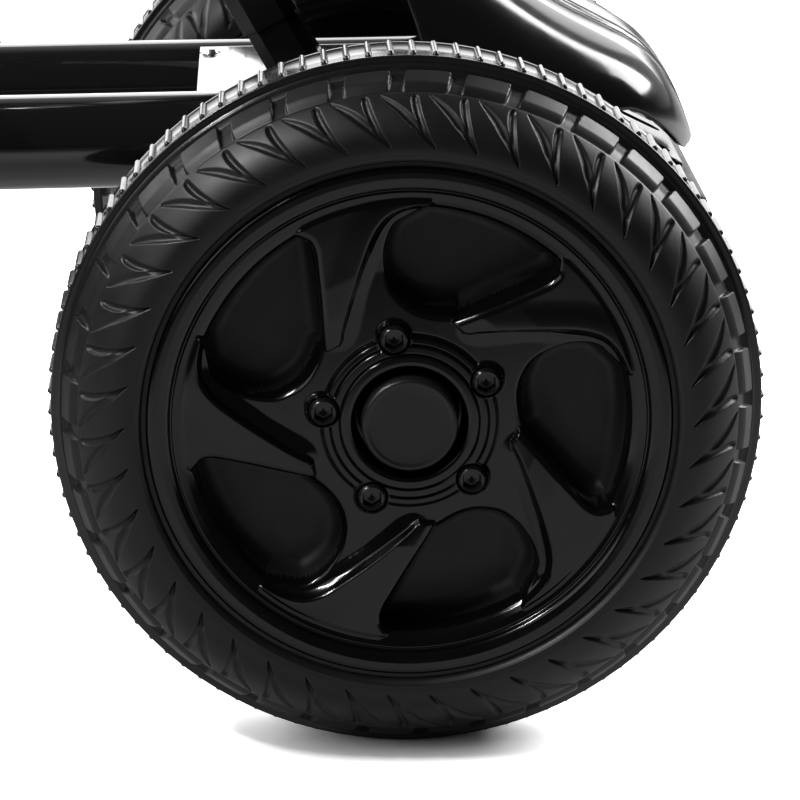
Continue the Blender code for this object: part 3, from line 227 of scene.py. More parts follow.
def new_mesh(name, parts, materials, sharp=None):
    """A smooth-shaded mesh from (points, faces, material numbers) parts."""
    points, faces, slots, offset = [], [], [], 0
    for part_points, part_faces, part_slots in parts:
        part_points = np.asarray(part_points, float).reshape(-1, 3)
        points.append(part_points)
        for face in part_faces:
            faces.append([int(corner) + offset for corner in face])
        slots.append(np.broadcast_to(part_slots, (len(part_faces),)))
        offset += len(part_points)
    mesh = bpy.data.meshes.new(name)
    mesh.from_pydata(np.concatenate(points), [], faces)
    for material in materials:
        mesh.materials.append(material)
    mesh.polygons.foreach_set("material_index", np.concatenate(slots).astype(np.int32))
    mesh.shade_smooth()
    if sharp:
        mesh.set_sharp_from_angle(angle=math.radians(sharp))
    mesh.update()
    return mesh


def put(name, mesh, body, replaces, matrix=None):
    """Place a mesh as a piece that rides on a body and stands for CAD nodes."""
    piece = bpy.data.objects.new(name, mesh)
    bpy.context.scene.collection.objects.link(piece)
    if matrix is not None:
        piece.matrix_world = matrix
    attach(piece, body)
    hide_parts(*replaces)
    return piece


def lathe(profile, steps, slot=0):
    """A surface turned about local Z through (radius, height) points, in metres."""
    profile = np.asarray(profile, float)
    turn = np.arange(steps) * math.tau / steps
    radii, heights = profile[:, 0:1], profile[:, 1:2]
    points = np.stack((radii * np.cos(turn), radii * np.sin(turn),
                       np.broadcast_to(heights, (len(profile), steps))), axis=-1)
    return points, grid_faces(len(profile), steps), slot


def round_corners(profile, radius, steps=4):
    """The open profile with each inner corner replaced by a small arc."""
    profile = [np.asarray(point, float) for point in profile]
    out = [profile[0]]
    for before, corner, after in zip(profile, profile[1:], profile[2:]):
        to_before, to_after = before - corner, after - corner
        reach = min(radius, 0.45 * np.linalg.norm(to_before), 0.45 * np.linalg.norm(to_after))
        start = corner + to_before / np.linalg.norm(to_before) * reach
        end = corner + to_after / np.linalg.norm(to_after) * reach
        for step in range(steps + 1):
            t = step / steps
            out.append((1 - t) ** 2 * start + 2 * t * (1 - t) * corner + t * t * end)
    out.append(profile[-1])
    return out


def turned(name, profile, material, steps, corner=0.5 * MM, sharp=None):
    """A mesh turned about local Z from a profile whose corners are rounded first."""
    return new_mesh(name, [lathe(round_corners(profile, corner), steps)], [material], sharp)


def curve(points, steps=6):
    """A smooth open line through the points, as an array."""
    points = np.asarray(points, float)
    ends = np.vstack((2 * points[0] - points[1], points, 2 * points[-1] - points[-2]))
    out = []
    for a, b, c, d in zip(ends, ends[1:], ends[2:], ends[3:]):
        for step in range(steps):
            t = step / steps
            out.append(0.5 * (2 * b + (c - a) * t + (2 * a - 5 * b + 4 * c - d) * t * t
                              + (3 * b - a - 3 * c + d) * t ** 3))
    out.append(points[-1])
    return np.array(out)


def line_distance(px, py, line):
    """Distance from each grid point to an open line."""
    best = np.full(px.shape, FAR)
    for (ax, ay), (bx, by) in zip(line, line[1:]):
        ux, uy = bx - ax, by - ay
        along = np.clip(((px - ax) * ux + (py - ay) * uy) / (ux * ux + uy * uy), 0.0, 1.0)
        best = np.minimum(best, (px - ax - along * ux) ** 2 + (py - ay - along * uy) ** 2)
    return np.sqrt(best)


def inside(px, py, outline):
    """Whether each grid point lies within a closed outline."""
    odd = np.zeros(px.shape, bool)
    for (ax, ay), (bx, by) in zip(outline, np.roll(outline, -1, axis=0)):
        if ay != by:
            crosses = (ay > py) != (by > py)
            odd ^= crosses & (px < (bx - ax) * (py - ay) / (by - ay) + ax)
    return odd


def turn_points(points, degrees):
    """Points in a plane turned about its origin."""
    angle = math.radians(degrees)
    turn = np.array(((math.cos(angle), math.sin(angle)), (-math.sin(angle), math.cos(angle))))
    return np.asarray(points, float) @ turn


def soften(heights):
    """Average each height with its neighbours; the columns run round the wheel."""
    heights = (np.roll(heights, 1, 1) + 2 * heights + np.roll(heights, -1, 1)) / 4
    padded = np.vstack((heights[:1], heights, heights[-1:]))
    return (padded[:-2] + 2 * heights + padded[2:]) / 4


def wheel_matrix(x, side):
    """Places a wheel's own frame, with its +Z out of the kart."""
    return (Matrix.Translation((x, side * WHEEL_Y, AXLE_Z))
            @ Matrix.Rotation(math.radians(-90.0 * side), 4, "X"))


# ---------------------------------------------------------------- rim

# Plan sizes, and heights over the wheel's middle plane, in millimetres; angles in degrees
SPOKES = 5
SPOKE_STEP = 360.0 / SPOKES
HUB_HOLE_R = 21.3
WEB_R = 35.0
RING_INNER_R = 85.0
RIM_R = 101.5
# Lug bolts: each sits in a recess with a raised collar round it
LUG_CIRCLE_R = 33.5
LUG_PHASE = 99.4
RECESS_R, RECESS_Z, RECESS_SIDE = 5.9, 33.2, 0.6
COLLAR_WIDE, COLLAR_Z, COLLAR_SIDE = 1.3, 36.9, 0.7
# Blade: its crest rolls over to the pocket on one side, its ridge stands over the flank
BLADE_TOP = [(37.0, 34.6), (42.0, 37.2), (50.0, 38.6), (62.0, 39.2), (80.0, 39.3)]
BLADE_END_R, BLADE_END_FADE = 89.6, 3.0
CREST_FOOT_Z, CREST_ROLL_WIDE = 34.8, 3.4
RIDGE_RISE, RIDGE_WIDE = 0.7, 12.0
FLANK_FOOT_Z, FLANK_HOLLOW = 35.2, 1.7
LEDGE_Z, LEDGE_RISE = 33.9, 1.5
# Pocket: a rounded edge, widest near the hub, then a wall that runs into the floor
POCKET_Z, POCKET_LOOK_Z = 17.0, 26.0
POCKET_FILLET, FILLET_POWER = 7.0, 2.4
WALL_WIDE, WALL_SHARE = 0.5, 0.35
EDGE_WIDE, EDGE_WIDER = 0.9, 2.5
EDGE_WIDENS_R, EDGE_WIDENS_OVER = 64.0, 18.0
EDGE_SLOPE, EDGE_BEND, EDGE_POWER = 0.5, 0.85, 1.8
# Lines of the spoke that stands at the upper left, from its outer end to the hub
CREST = [(-43.4, 78.0), (-43.6, 74.9), (-40.5, 73.2), (-37.5, 71.6), (-35.8, 67.5), (-35, 60),
         (-34.2, 50), (-33.6, 40), (-32.9, 32), (-32.3, 28)]
RIDGE = [(9.6, 86.6), (-0.4, 85.2), (-8.3, 81.4), (-13.6, 74.1), (-17.5, 64.0), (-21.2, 52.8),
         (-24.2, 42.1), (-25.9, 34.6), (-26.4, 31)]
FLANK_FOOT = [(5, 84), (-2.5, 81.9), (-7.5, 76.3), (-11.3, 68.8), (-15, 62.5), (-18.1, 53.8),
              (-21.3, 45), (-24.4, 35)]
LEDGE = [(9, 85.2), (1.3, 81.9), (-4.4, 76.3), (-8, 68.8), (-11.3, 62.5), (-15, 52.5),
         (-16.9, 42.5), (-18, 35), (-22, 28.5), (-27.5, 26.5), (-32.3, 28)]
WINDOW_SIDE = [(9.6, 86), (0.3, 81.6), (-6, 76.6), (-9.4, 65), (-8, 53), (-3, 46), (3, 42),
               (10, 40), (16.6, 39.4)]
# Radius and height of the face where no spoke stands: hub steps, web, ring band and flange
RIM_PROFILE = [(HUB_HOLE_R, 29.0), (21.8, 36.6), (22.6, 38.0), (24.0, 38.3), (26.5, 38.1),
               (27.0, 36.8), (27.5, 37.5), (30.1, 37.4), (30.7, 36.0), (31.2, 36.8), (33.3, 36.6),
               (34.1, 33.9), (34.9, 34.3), (60.0, 33.6), (80.0, 34.6), (RING_INNER_R, 35.6),
               (86.4, 37.2), (88.5, 38.6), (91.3, 39.5), (91.8, 39.0), (92.3, 39.0), (93.0, 40.9),
               (94.2, 41.8), (97.0, 42.4), (99.6, 42.4), (100.7, 42.0), (101.3, 41.3),
               (RIM_R, 40.9)]
# Radius and height of the closed back: barrel, inner flange, dish, bore and hub hole
RIM_BACK = [(RIM_R, 40.9), (RIM_R, 40.7), (97.0, 40.7), (97.0, -41.0), (103.0, -41.0),
            (103.0, -43.2), (92.0, -43.2), (86.0, 12.4), (20.3, 12.4), (18.3, -42.0),
            (10.3, -42.0), (10.3, 24.0), (HUB_HOLE_R, 24.0), (HUB_HOLE_R, 29.0)]


def arc(radius, start, end, count):
    """Points of an arc about the origin, between two angles in degrees."""
    angles = np.radians(np.linspace(start, end, count))
    return np.stack((radius * np.cos(angles), radius * np.sin(angles)), axis=-1)


def angle_of(point):
    """Direction of a point from the origin, in degrees."""
    return math.degrees(math.atan2(point[1], point[0]))


def spoke_outline(line, crest):
    """Closed outline from one of a spoke's lines to its crest, with an arc at its outer end."""
    end = arc(BLADE_END_R, angle_of(crest[0]), angle_of(line[0]), 14)
    return np.vstack((line, crest[::-1], end))


def raise_spoke(height, radius, px, py):
    """The face's heights with one spoke raised over them: ledge, flank and blade."""
    crest, ridge, foot = curve(CREST), curve(RIDGE), curve(FLANK_FOOT)
    ledge = curve(LEDGE)
    from_ridge = line_distance(px, py, ridge)
    from_foot = line_distance(px, py, foot)
    from_ledge = line_distance(px, py, ledge)
    raised = LEDGE_Z + LEDGE_RISE * from_ledge / (from_ledge + from_foot + TINY)
    on_island = inside(px, py, spoke_outline(ledge, crest))
    height = np.where(on_island, np.maximum(height, raised), height)

    blade_top = np.interp(radius, *zip(*BLADE_TOP))
    share = from_ridge / (from_ridge + from_foot + TINY)
    slope = (FLANK_FOOT_Z + (blade_top + RIDGE_RISE - FLANK_FOOT_Z)
             * (1.0 - share) ** FLANK_HOLLOW)
    on_flank = inside(px, py, np.vstack((ridge, foot[::-1])))
    height = np.where(on_flank, np.maximum(slope, height), height)

    ring = np.interp(radius, *zip(*RIM_PROFILE))
    roll = np.clip(line_distance(px, py, crest) / CREST_ROLL_WIDE, 0.0, 1.0)
    rounding = np.sqrt(1.0 - (1.0 - roll) ** 2)
    top = (CREST_FOOT_Z + (blade_top - CREST_FOOT_Z) * rounding
           + RIDGE_RISE * (1.0 - smooth_step(from_ridge / RIDGE_WIDE)) * rounding)
    top = ring + (top - ring) * smooth_step((BLADE_END_R - radius) / BLADE_END_FADE)
    on_blade = inside(px, py, spoke_outline(ridge, crest))
    return np.where(on_blade, np.maximum(top, height), height)


def pocket_shape(radius, px, py):
    """How far the rounded edge beside one spoke has sunk, and the share of a pocket's depth."""
    side = curve(WINDOW_SIDE)
    next_crest = turn_points(curve(CREST), -SPOKE_STEP)
    inner_crest = next_crest[np.hypot(*next_crest.T) < RING_INNER_R][::-1]
    window = np.vstack((side[2:], inner_crest,
                        arc(RING_INNER_R, angle_of(inner_crest[-1]) + 0.3, angle_of(side[0]), 24)))
    in_window = inside(px, py, window)
    from_side = line_distance(px, py, side)
    edge_wide = EDGE_WIDE + EDGE_WIDER * smooth_step((EDGE_WIDENS_R - radius) / EDGE_WIDENS_OVER)
    edge = np.clip(from_side / edge_wide, 0.0, 1.0)
    sunk = edge_wide * (EDGE_SLOPE * edge + EDGE_BEND * edge ** EDGE_POWER)
    wall = np.minimum(from_side - edge_wide, line_distance(px, py, inner_crest))
    wall = np.maximum(np.minimum(wall, RING_INNER_R - radius), 0.0)
    bowl = 1.0 - np.clip(wall / POCKET_FILLET, 0.0, 1.0)
    filleted = WALL_SHARE + (1.0 - WALL_SHARE) * np.sqrt(1.0 - bowl ** FILLET_POWER)
    depth = np.clip(wall / WALL_WIDE, 0.0, 1.0) * filleted
    return np.where(in_window, sunk, 0.0), np.where(in_window, depth, 0.0)


def rim_heights(radius, angle):
    """Height of the rim's outer face over its middle plane, in millimetres.

    radius and angle are grids in millimetres and degrees; the angles cover one spoke's
    share of the turn round the spoke that the lines above describe.
    """
    lug = math.radians(LUG_PHASE)
    lug_x, lug_y = LUG_CIRCLE_R * math.cos(lug), LUG_CIRCLE_R * math.sin(lug)
    height = np.interp(radius, *zip(*RIM_PROFILE))
    pocket = np.zeros(radius.shape)
    lug_gap = np.full(radius.shape, FAR)
    # The spoke itself and its two neighbours, which reach into its share
    for step in (-1, 0, 1):
        local = np.radians(angle - SPOKE_STEP * step)
        px, py = radius * np.cos(local), radius * np.sin(local)
        height = raise_spoke(height, radius, px, py)
        sunk, depth = pocket_shape(radius, px, py)
        height = height - sunk
        pocket = np.maximum(pocket, depth)
        lug_gap = np.minimum(lug_gap, np.hypot(px - lug_x, py - lug_y))
    height = height * (1.0 - pocket) + POCKET_Z * pocket
    collar = smooth_step((RECESS_R + COLLAR_WIDE - lug_gap) / COLLAR_SIDE)
    recess = smooth_step((RECESS_R + RECESS_SIDE / 2 - lug_gap) / RECESS_SIDE)
    height = height * (1.0 - collar) + np.maximum(height, COLLAR_Z) * collar
    return height * (1.0 - recess) + np.minimum(height, RECESS_Z) * recess


def rim_mesh():
    """Rim with five curved spokes over closed pockets, dished at the back."""
    spoke_columns = 216
    radii = np.concatenate((np.linspace(HUB_HOLE_R, WEB_R, 58),
                            np.linspace(WEB_R + 0.4, RING_INNER_R, 118),
                            np.linspace(RING_INNER_R + 0.25, RIM_R, 62)))
    angles = LUG_PHASE + SPOKE_STEP / 2 - SPOKE_STEP * np.arange(spoke_columns) / spoke_columns
    radius, angle = np.meshgrid(radii, angles[::-1], indexing="ij")
    heights = soften(np.tile(rim_heights(radius, angle), (1, SPOKES)))
    columns = heights.shape[1]
    turn = np.radians(angles[-1] + 360.0 * np.arange(columns) / columns)
    front = np.stack((radii[:, None] * np.cos(turn), radii[:, None] * np.sin(turn), heights),
                     axis=-1) * MM
    middle = heights[:-1] / 2 + heights[1:] / 2
    slots = (middle.reshape(-1) < POCKET_LOOK_Z).astype(int)
    back = lathe(np.array(round_corners(RIM_BACK, 0.8, 3)) * MM, 180)
    return new_mesh("rim", [(front, grid_faces(len(radii), columns), slots), back],
                    [RIM_GLOSS, RIM_POCKET], 50)


# ---------------------------------------------------------------- tyres

# Sizes in millimetres, angles in degrees
BLOCKS = 36
CLAWS = 42
RIBS = 102
# One sixth of the turn holds a whole number of blocks and of claws, so it is drawn once
TYRE_SHARES = 6
# Shoulder blocks: rounded corners, a side that falls away and a chamfer towards the wheel
BLOCK_PHASE, BLOCK_HALF = 5.7, 4.0
BLOCK_INNER_R, BLOCK_OUTER_R = 128.4, 134.8
BLOCK_HEIGHT, BLOCK_CORNER, BLOCK_SIDE = 1.9, 1.5, 0.8
CHAMFER_R, CHAMFER_WIDE, CHAMFER_SHARE = 129.2, 1.6, 0.35
# The blocks lean by one degree for each SLANT_RUN of radius inside SLANT_R
SLANT_R, SLANT_RUN = 135.0, 7.0
# Channel that the blocks stand in, and the deeper gaps between them near the tread
CHANNEL_INNER_R, CHANNEL_INNER_SIDE = 127.9, 0.9
CHANNEL_OUTER_R, CHANNEL_OUTER_SIDE = 135.7, 0.5
CHANNEL_DEPTH = 1.2
GAP_R, GAP_RUN, GAP_DEPTH = 131.0, 3.0, 1.2
BEAD_R, BEAD_WIDE, BEAD_RISE = 105.6, 0.5, 0.25
DEEPEST = 2.6
# Claws: the middle line of each of the two grooves as degrees ahead of the claw's tip, radius
# and half width, and the groove's depths at its outer end, middle and tip
CLAW_PHASE = 7.3
LONG_GROOVE = [(9.7, 127.3, 0.3), (8.0, 124.9, 1.1), (6.3, 122.2, 1.5), (4.9, 119.5, 1.6),
               (3.4, 116.7, 1.4), (1.95, 113.6, 1.0), (0.6, 110.9, 0.5), (0.0, 109.5, 0.1)]
LONG_DEPTHS = (0.7, 1.2, 0.4)
SHORT_GROOVE = [(3.85, 126.0, 1.6), (3.75, 124.4, 1.7), (3.3, 121.2, 1.5), (2.5, 117.3, 1.2),
                (1.6, 113.8, 0.9), (0.7, 111.2, 0.5), (0.0, 109.5, 0.1)]
SHORT_DEPTHS = (1.3, 1.1, 0.4)
# Radius and height of the sidewall, of the lip beside the tread and of the band under the ribs
SHOULDER = [(103.4, 41.4), (104.3, 43.1), (106.6, 44.1), (110.0, 44.3), (114.0, 43.5),
            (118.0, 41.5), (122.0, 38.4), (126.0, 34.2), (129.4, 29.5), (131.5, 25.5),
            (133.5, 21.3), (134.8, 18.6)]
LIP = [(135.2, 17.2), (135.4, 15.9), (135.8, 15.2), (136.6, 15.0), (138.6, 15.0), (139.0, 14.8),
       (139.2, 14.3), (139.1, 13.3)]
BAND = [(139.1, 13.3), (138.6, 12.6), (138.5, 0.0), (138.6, -12.6), (139.1, -13.3)]
# Radius and height of the inside, which sits on the rim
BORE_FRONT = [(97.3, -40.4), (97.3, 40.4), (103.2, 40.4), (103.4, 41.4)]
BORE_BACK = [(103.4, -41.4), (103.2, -40.4), (97.3, -40.4)]


def groove_depth(arc_place, radius, groove, depths):
    """Depth of one tapered groove where a point lies beside it, all in millimetres."""
    groove = curve(groove, 4)
    widths = groove[:, 2]
    deepest = np.interp(np.linspace(0, 1, len(groove)), [0.0, 0.5, 1.0], depths)
    depth = np.zeros(radius.shape)
    for (a, ra, _), (b, rb, _), width, deep in zip(groove, groove[1:], widths, deepest):
        ax, bx = a * math.radians(1) * ra, b * math.radians(1) * rb
        ux, uy = bx - ax, rb - ra
        along = np.clip(((arc_place - ax) * ux + (radius - ra) * uy) / (ux * ux + uy * uy), 0, 1)
        gap = np.hypot(arc_place - ax - along * ux, radius - ra - along * uy)
        depth = np.maximum(depth, deep * np.clip(1.0 - (gap / max(width, 0.1)) ** 2, 0.0, 1.0))
    return depth


def tyre_relief(radius, angle):
    """Outward relief of the sidewall over its plain profile, in millimetres."""
    block_step, claw_step = 360.0 / BLOCKS, 360.0 / CLAWS
    arc_mm = math.radians(1) * radius
    slant = (SLANT_R - radius) / SLANT_RUN
    from_middle = (angle - BLOCK_PHASE - slant + block_step / 2) % block_step - block_step / 2
    past_end = np.maximum(BLOCK_CORNER - (BLOCK_HALF - np.abs(from_middle)) * arc_mm, 0.0)
    from_edge = np.minimum(BLOCK_OUTER_R - radius, radius - BLOCK_INNER_R)
    past_edge = np.maximum(BLOCK_CORNER - from_edge, 0.0)
    block = smooth_step((BLOCK_CORNER - np.hypot(past_end, past_edge)) / BLOCK_SIDE)
    chamfer = (CHAMFER_SHARE + (1.0 - CHAMFER_SHARE)
               * np.clip((radius - CHAMFER_R) / CHAMFER_WIDE, 0.0, 1.0))
    channel = (smooth_step((radius - CHANNEL_INNER_R) / CHANNEL_INNER_SIDE)
               * smooth_step((CHANNEL_OUTER_R - radius) / CHANNEL_OUTER_SIDE))
    relief = BLOCK_HEIGHT * block * chamfer - CHANNEL_DEPTH * channel
    relief -= GAP_DEPTH * channel * (1.0 - block) * smooth_step((radius - GAP_R) / GAP_RUN)
    # A claw's long groove reaches over the next claw, so each place looks at both
    ahead = (angle - CLAW_PHASE) % claw_step
    for lap in (0, 1):
        place = (ahead + lap * claw_step) * arc_mm
        relief -= groove_depth(place, radius, LONG_GROOVE, LONG_DEPTHS)
        relief -= groove_depth(place, radius, SHORT_GROOVE, SHORT_DEPTHS)
    relief += BEAD_RISE * np.exp(-((radius - BEAD_R) / BEAD_WIDE) ** 2)
    return np.maximum(relief, -DEEPEST)


def even_line(points, spacing):
    """The line through the points again, with its points evenly spaced."""
    points = np.asarray(points, float)
    along = np.concatenate(((0.0,), np.cumsum(np.hypot(*np.diff(points, axis=0).T))))
    places = np.linspace(0.0, along[-1], max(2, round(along[-1] / spacing) + 1))
    return np.stack([np.interp(places, along, points[:, k]) for k in (0, 1)], axis=-1)


def front_tyre_mesh():
    """Foam tyre with shoulder blocks, paired claw grooves and ribs across its tread."""
    share_columns = 360
    columns = share_columns * TYRE_SHARES
    shoulder = even_line(curve(SHOULDER, 8), 0.5)
    profile = np.vstack((shoulder, even_line(LIP, 0.45)))
    ahead = np.gradient(profile, axis=0)
    normal = np.stack((-ahead[:, 1], ahead[:, 0]), axis=-1)
    normal /= np.linalg.norm(normal, axis=1, keepdims=True)
    angles = 360.0 * np.arange(share_columns) / columns
    radius, angle = np.meshgrid(profile[:, 0], angles, indexing="ij")
    relief = tyre_relief(radius, angle)
    # Plain where the sidewall meets the rim, and on the lip
    relief[:3] = 0.0
    relief[len(shoulder):] = 0.0
    relief = np.tile(relief, (1, TYRE_SHARES))
    turn = np.radians(360.0 * np.arange(columns) / columns)
    out_r = profile[:, 0:1] + normal[:, 0:1] * relief
    out_z = profile[:, 1:2] + normal[:, 1:2] * relief
    outer = np.stack((out_r * np.cos(turn), out_r * np.sin(turn), out_z), axis=-1) * MM
    # The side towards the kart is the mirror twin, with a third of the columns
    inner = outer[:, ::3] * np.array((1.0, 1.0, -1.0))
    rows = len(profile)
    on_lip = np.arange(rows - 1) >= len(shoulder)
    parts = [(outer, grid_faces(rows, columns), np.repeat(on_lip, columns).astype(int)),
             (inner, grid_faces(rows, columns // 3, flip=True),
              np.repeat(on_lip, columns // 3).astype(int)),
             lathe(np.array(BAND) * MM, 360, 1),
             lathe(np.array(BORE_FRONT) * MM, 180),
             lathe(np.array(BORE_BACK) * MM, 180),
             tread_ribs()]
    return new_mesh("front_tyre", parts, [TYRE_RUBBER, TREAD_RUBBER], 62)


def tread_ribs():
    """Ridged bars that lie across the tread, each with a blunt end."""
    half_length, half_width, base_r, top_r = 12.7, 1.4, 138.3, TYRE_R / MM
    end_bluntness, end_width, side_fall = 26, 0.05, 0.98
    around, along = 11, 21
    points, faces = [], []
    for rib in range(RIBS):
        middle = math.tau * rib / RIBS
        start = len(points)
        for k in range(along):
            t = math.sin(math.pi / 2 * (2.0 * k / (along - 1) - 1.0))
            fade = max(1.0 - abs(t) ** end_bluntness, 0.0) ** 0.5
            for j in range(around):
                side = 2.0 * j / (around - 1) - 1.0
                across = half_width * side * max(fade, end_width)
                rise = math.sqrt(1.0 - side_fall * side * side) * fade
                radius = base_r + (top_r - base_r) * rise
                turn = middle + across / base_r
                points.append((radius * math.cos(turn) * MM, radius * math.sin(turn) * MM,
                               t * half_length * MM))
        faces += (grid_faces(along, around, wrap_columns=False) + start).tolist()
    return np.array(points), faces, 1


def slick_tyre_mesh():
    """Hard rear drift tyre: smooth all round, with fine scuff rings on the tread."""
    tread_r, tread_half, scuff, rings = 140.6, 24.0, 0.12, 24
    outside = [(97.3, 40.4), (103.6, 40.4), (103.6, 43.4), (108.0, 44.5), (113.0, 44.7),
               (120.0, 44.0), (126.0, 42.0), (131.5, 39.0), (136.0, 35.0), (138.9, 31.0),
               (140.2, 27.5), (tread_r, tread_half)]
    tread = [(tread_r - scuff * (k % 2), tread_half - 2 * tread_half * k / rings)
             for k in range(1, rings)]
    inside_half = [(radius, -height) for radius, height in reversed(outside)]
    profile = round_corners(outside + tread + inside_half, 1.4, 3)
    return new_mesh("slick_tyre", [lathe(np.array(profile) * MM, 256)], [SLICK_RUBBER], 60)


# ---------------------------------------------------------------- wheel furniture

def cap_mesh():
    """Hub cap with a low rim round its face."""
    profile = [(0.02, 41.3), (12.0, 41.35), (15.8, 41.5), (16.6, 41.9), (17.4, 41.9),
               (18.2, 41.2), (18.7, 39.8), (18.7, 33.0)]
    return turned("hub_cap", np.array(profile) * MM, CAP_SATIN, 96, 0.4 * MM)


# Radius, height and whether the ring is six-sided: shank, head, socket wall and socket floor
BOLT_RINGS = [(5.7, 31.0, False), (5.7, 36.2, False), (5.5, 37.3, False), (5.15, 38.1, False),
              (4.75, 38.7, False), (4.45, 38.9, False), (4.1, 38.7, True), (3.95, 38.3, True),
              (3.85, 35.2, True), (3.5, 34.9, True), (0.6, 34.9, False), (0.02, 34.5, False)]


def lug_bolt(centre_x, centre_y, count=48):
    """Button-head bolt with a six-sided socket; its place is in millimetres."""
    turn = np.arange(count) * math.tau / count
    six = math.cos(math.pi / 6) / np.cos((turn + math.pi / 6) % (math.pi / 3) - math.pi / 6)
    points = []
    for radius, height, hexagonal in BOLT_RINGS:
        reach = radius * six if hexagonal else np.full(count, radius)
        points.append(np.stack((centre_x + reach * np.cos(turn), centre_y + reach * np.sin(turn),
                                np.full(count, height)), axis=-1))
    return np.array(points) * MM, grid_faces(len(BOLT_RINGS), count), 0


def flange_mesh():
    """Hub flange behind the rim and the five bolts that show through it."""
    ring = [(24.3, 12.0), (24.3, 8.0), (40.0, 8.0), (40.0, 12.0), (24.3, 12.0)]
    parts = [lathe(np.array(ring) * MM, 96)]
    for number in range(SPOKES):
        angle = math.radians(LUG_PHASE + SPOKE_STEP * number)
        parts.append(lug_bolt(LUG_CIRCLE_R * math.cos(angle), LUG_CIRCLE_R * math.sin(angle)))
    return new_mesh("hub_flange", parts, [BOLT_BLACK], 40)


def build_wheels():
    """Tyre, rim, cap and bolted flange at each corner; only the tyres differ."""
    shared = (("rim", "rim", rim_mesh(), "gloss_plastic"),
              ("cap", "hub_cap", cap_mesh(), "matte_plastic"),
              ("flange", "hub_flange", flange_mesh(), "dark_steel"))
    tyres = {"front": (front_tyre_mesh(), "foam_tyre"), "rear": (slick_tyre_mesh(), "hard_tyre")}
    for end, x in (("front", FRONT_X), ("rear", REAR_X)):
        for label, side in SIDES:
            body = f"front_wheel_{label}" if end == "front" else "rear_axle"
            for piece, node, mesh, slot in (("tyre", "tyre", *tyres[end]), *shared):
                put(f"{end}_{piece}_{label}_fine", mesh, body, (f"{end}_{node}_{label}",),
                    wheel_matrix(x, side))


# ---------------------------------------------------------------- dressed CAD nodes

MERGE_GAP = 0.005 * MM
FLAT_DEGREES, EDGE_DEGREES = 0.6, 33


def dressed(node, material, edge):
    """A copy of a CAD node with its flat facets merged and its edges rounded."""
    source = frame["nodes"][node]
    mesh = source.data.copy()
    mesh.name = node + "_mesh"
    mesh.materials.clear()
    mesh.materials.append(material)
    shape = bmesh.new()
    shape.from_mesh(mesh)
    bmesh.ops.remove_doubles(shape, verts=shape.verts, dist=MERGE_GAP)
    bmesh.ops.dissolve_limit(shape, angle_limit=math.radians(FLAT_DEGREES), verts=shape.verts,
                             edges=shape.edges)
    shape.to_mesh(mesh)
    shape.free()
    mesh.shade_smooth()
    piece = bpy.data.objects.new(node + "_dressed", mesh)
    bpy.context.scene.collection.objects.link(piece)
    round_edges(piece, edge, EDGE_DEGREES)
    piece.modifiers.new("normals", "WEIGHTED_NORMAL").keep_sharp = False
    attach(piece, source["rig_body"])
    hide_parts(node)


def round_edges(piece, width, degrees):
    """Bevel the edges of a piece that are sharper than an angle."""
    bevel = piece.modifiers.new("edges", "BEVEL")
    bevel.width = width
    bevel.segments = 3
    bevel.limit_method = "ANGLE"
    bevel.angle_limit = math.radians(degrees)


def thicken(piece, thickness, offset):
    """Give an open surface its wall, on the side that the offset's sign says."""
    wall = piece.modifiers.new("wall", "SOLIDIFY")
    wall.thickness = thickness
    wall.offset = offset


# Which CAD nodes have each surface, with the width in millimetres of their rounded edges
DRESSED = {
    GLOSS_PAINT: [("front_axle_beam", 1.2), ("foot_plate", 0.5), ("peg_tube", 0.8),
                  ("seat_track", 0.6), ("rear_bearing_right", 1.0), ("rear_bearing_left", 1.0),
                  ("column_tube", 0.8)],
    NOSE_GLOSS: [("nose_lip", 0.5), ("column_shroud", 0.5), ("horn_button", 0.6),
                 ("power_switch", 0.6)],
    BLACK_STEEL: [("knuckle_right", 0.8), ("knuckle_left", 0.8), ("motor", 1.0),
                  ("motor_pinion", 0.3), ("seat_carriage", 0.8), ("lid_latch", 0.6)],
    ZINC: [("kingpin_right", 0.5), ("kingpin_left", 0.5), ("axle_nut_right", 0.5),
           ("axle_nut_left", 0.5), ("tie_rod_right", 0.4), ("tie_rod_left", 0.4),
           ("steering_shaft", 0.5), ("foot_plate_screw_right", 0.2),
           ("foot_plate_screw_left", 0.2), ("pedal_spring", 0.05), ("rear_axle", 0.8)],
    NYLON: [("front_wheel_bush_right", 0.3), ("front_wheel_bush_left", 0.3),
            ("drive_gear", 0.3)],
    SATIN_PLASTIC: [("accelerator_pedal", 0.8), ("seat_clamp_knob", 0.8), ("battery_box", 0.8),
                    ("front_bumper", 0.6), ("battery", 0.8), ("battery_lid", 0.6)],
    GRIP_RUBBER: [("brake_lever", 0.5), ("charge_cap", 0.5)],
}


# ---------------------------------------------------------------- frame and body

RAIL_WALL = 1.8 * MM
# How far the tube's profile runs on over its own start, so that the mouth is rounded there
RAIL_OVERLAP = 5.0 * MM


def rail_mesh(node):
    """Round steel tube with a rounded mouth at each end."""
    low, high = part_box(node)
    radius, half = (high.z - low.z) / 2, (high.x - low.x) / 2
    bore = radius - RAIL_WALL
    profile = [(radius, half), (radius, -half), (bore, -half), (bore, half), (radius, half),
               (radius, half - RAIL_OVERLAP)]
    return turned(node + "_mesh", profile, GLOSS_PAINT, 128)


def build_rails():
    """The two long tubes, turned to lie along the kart."""
    for label, _ in SIDES:
        node = f"frame_rail_{label}"
        matrix = Matrix.Translation(box_middle(node)) @ Matrix.Rotation(math.radians(90), 4, "Y")
        put(node + "_fine", rail_mesh(node), "frame", (node,), matrix)


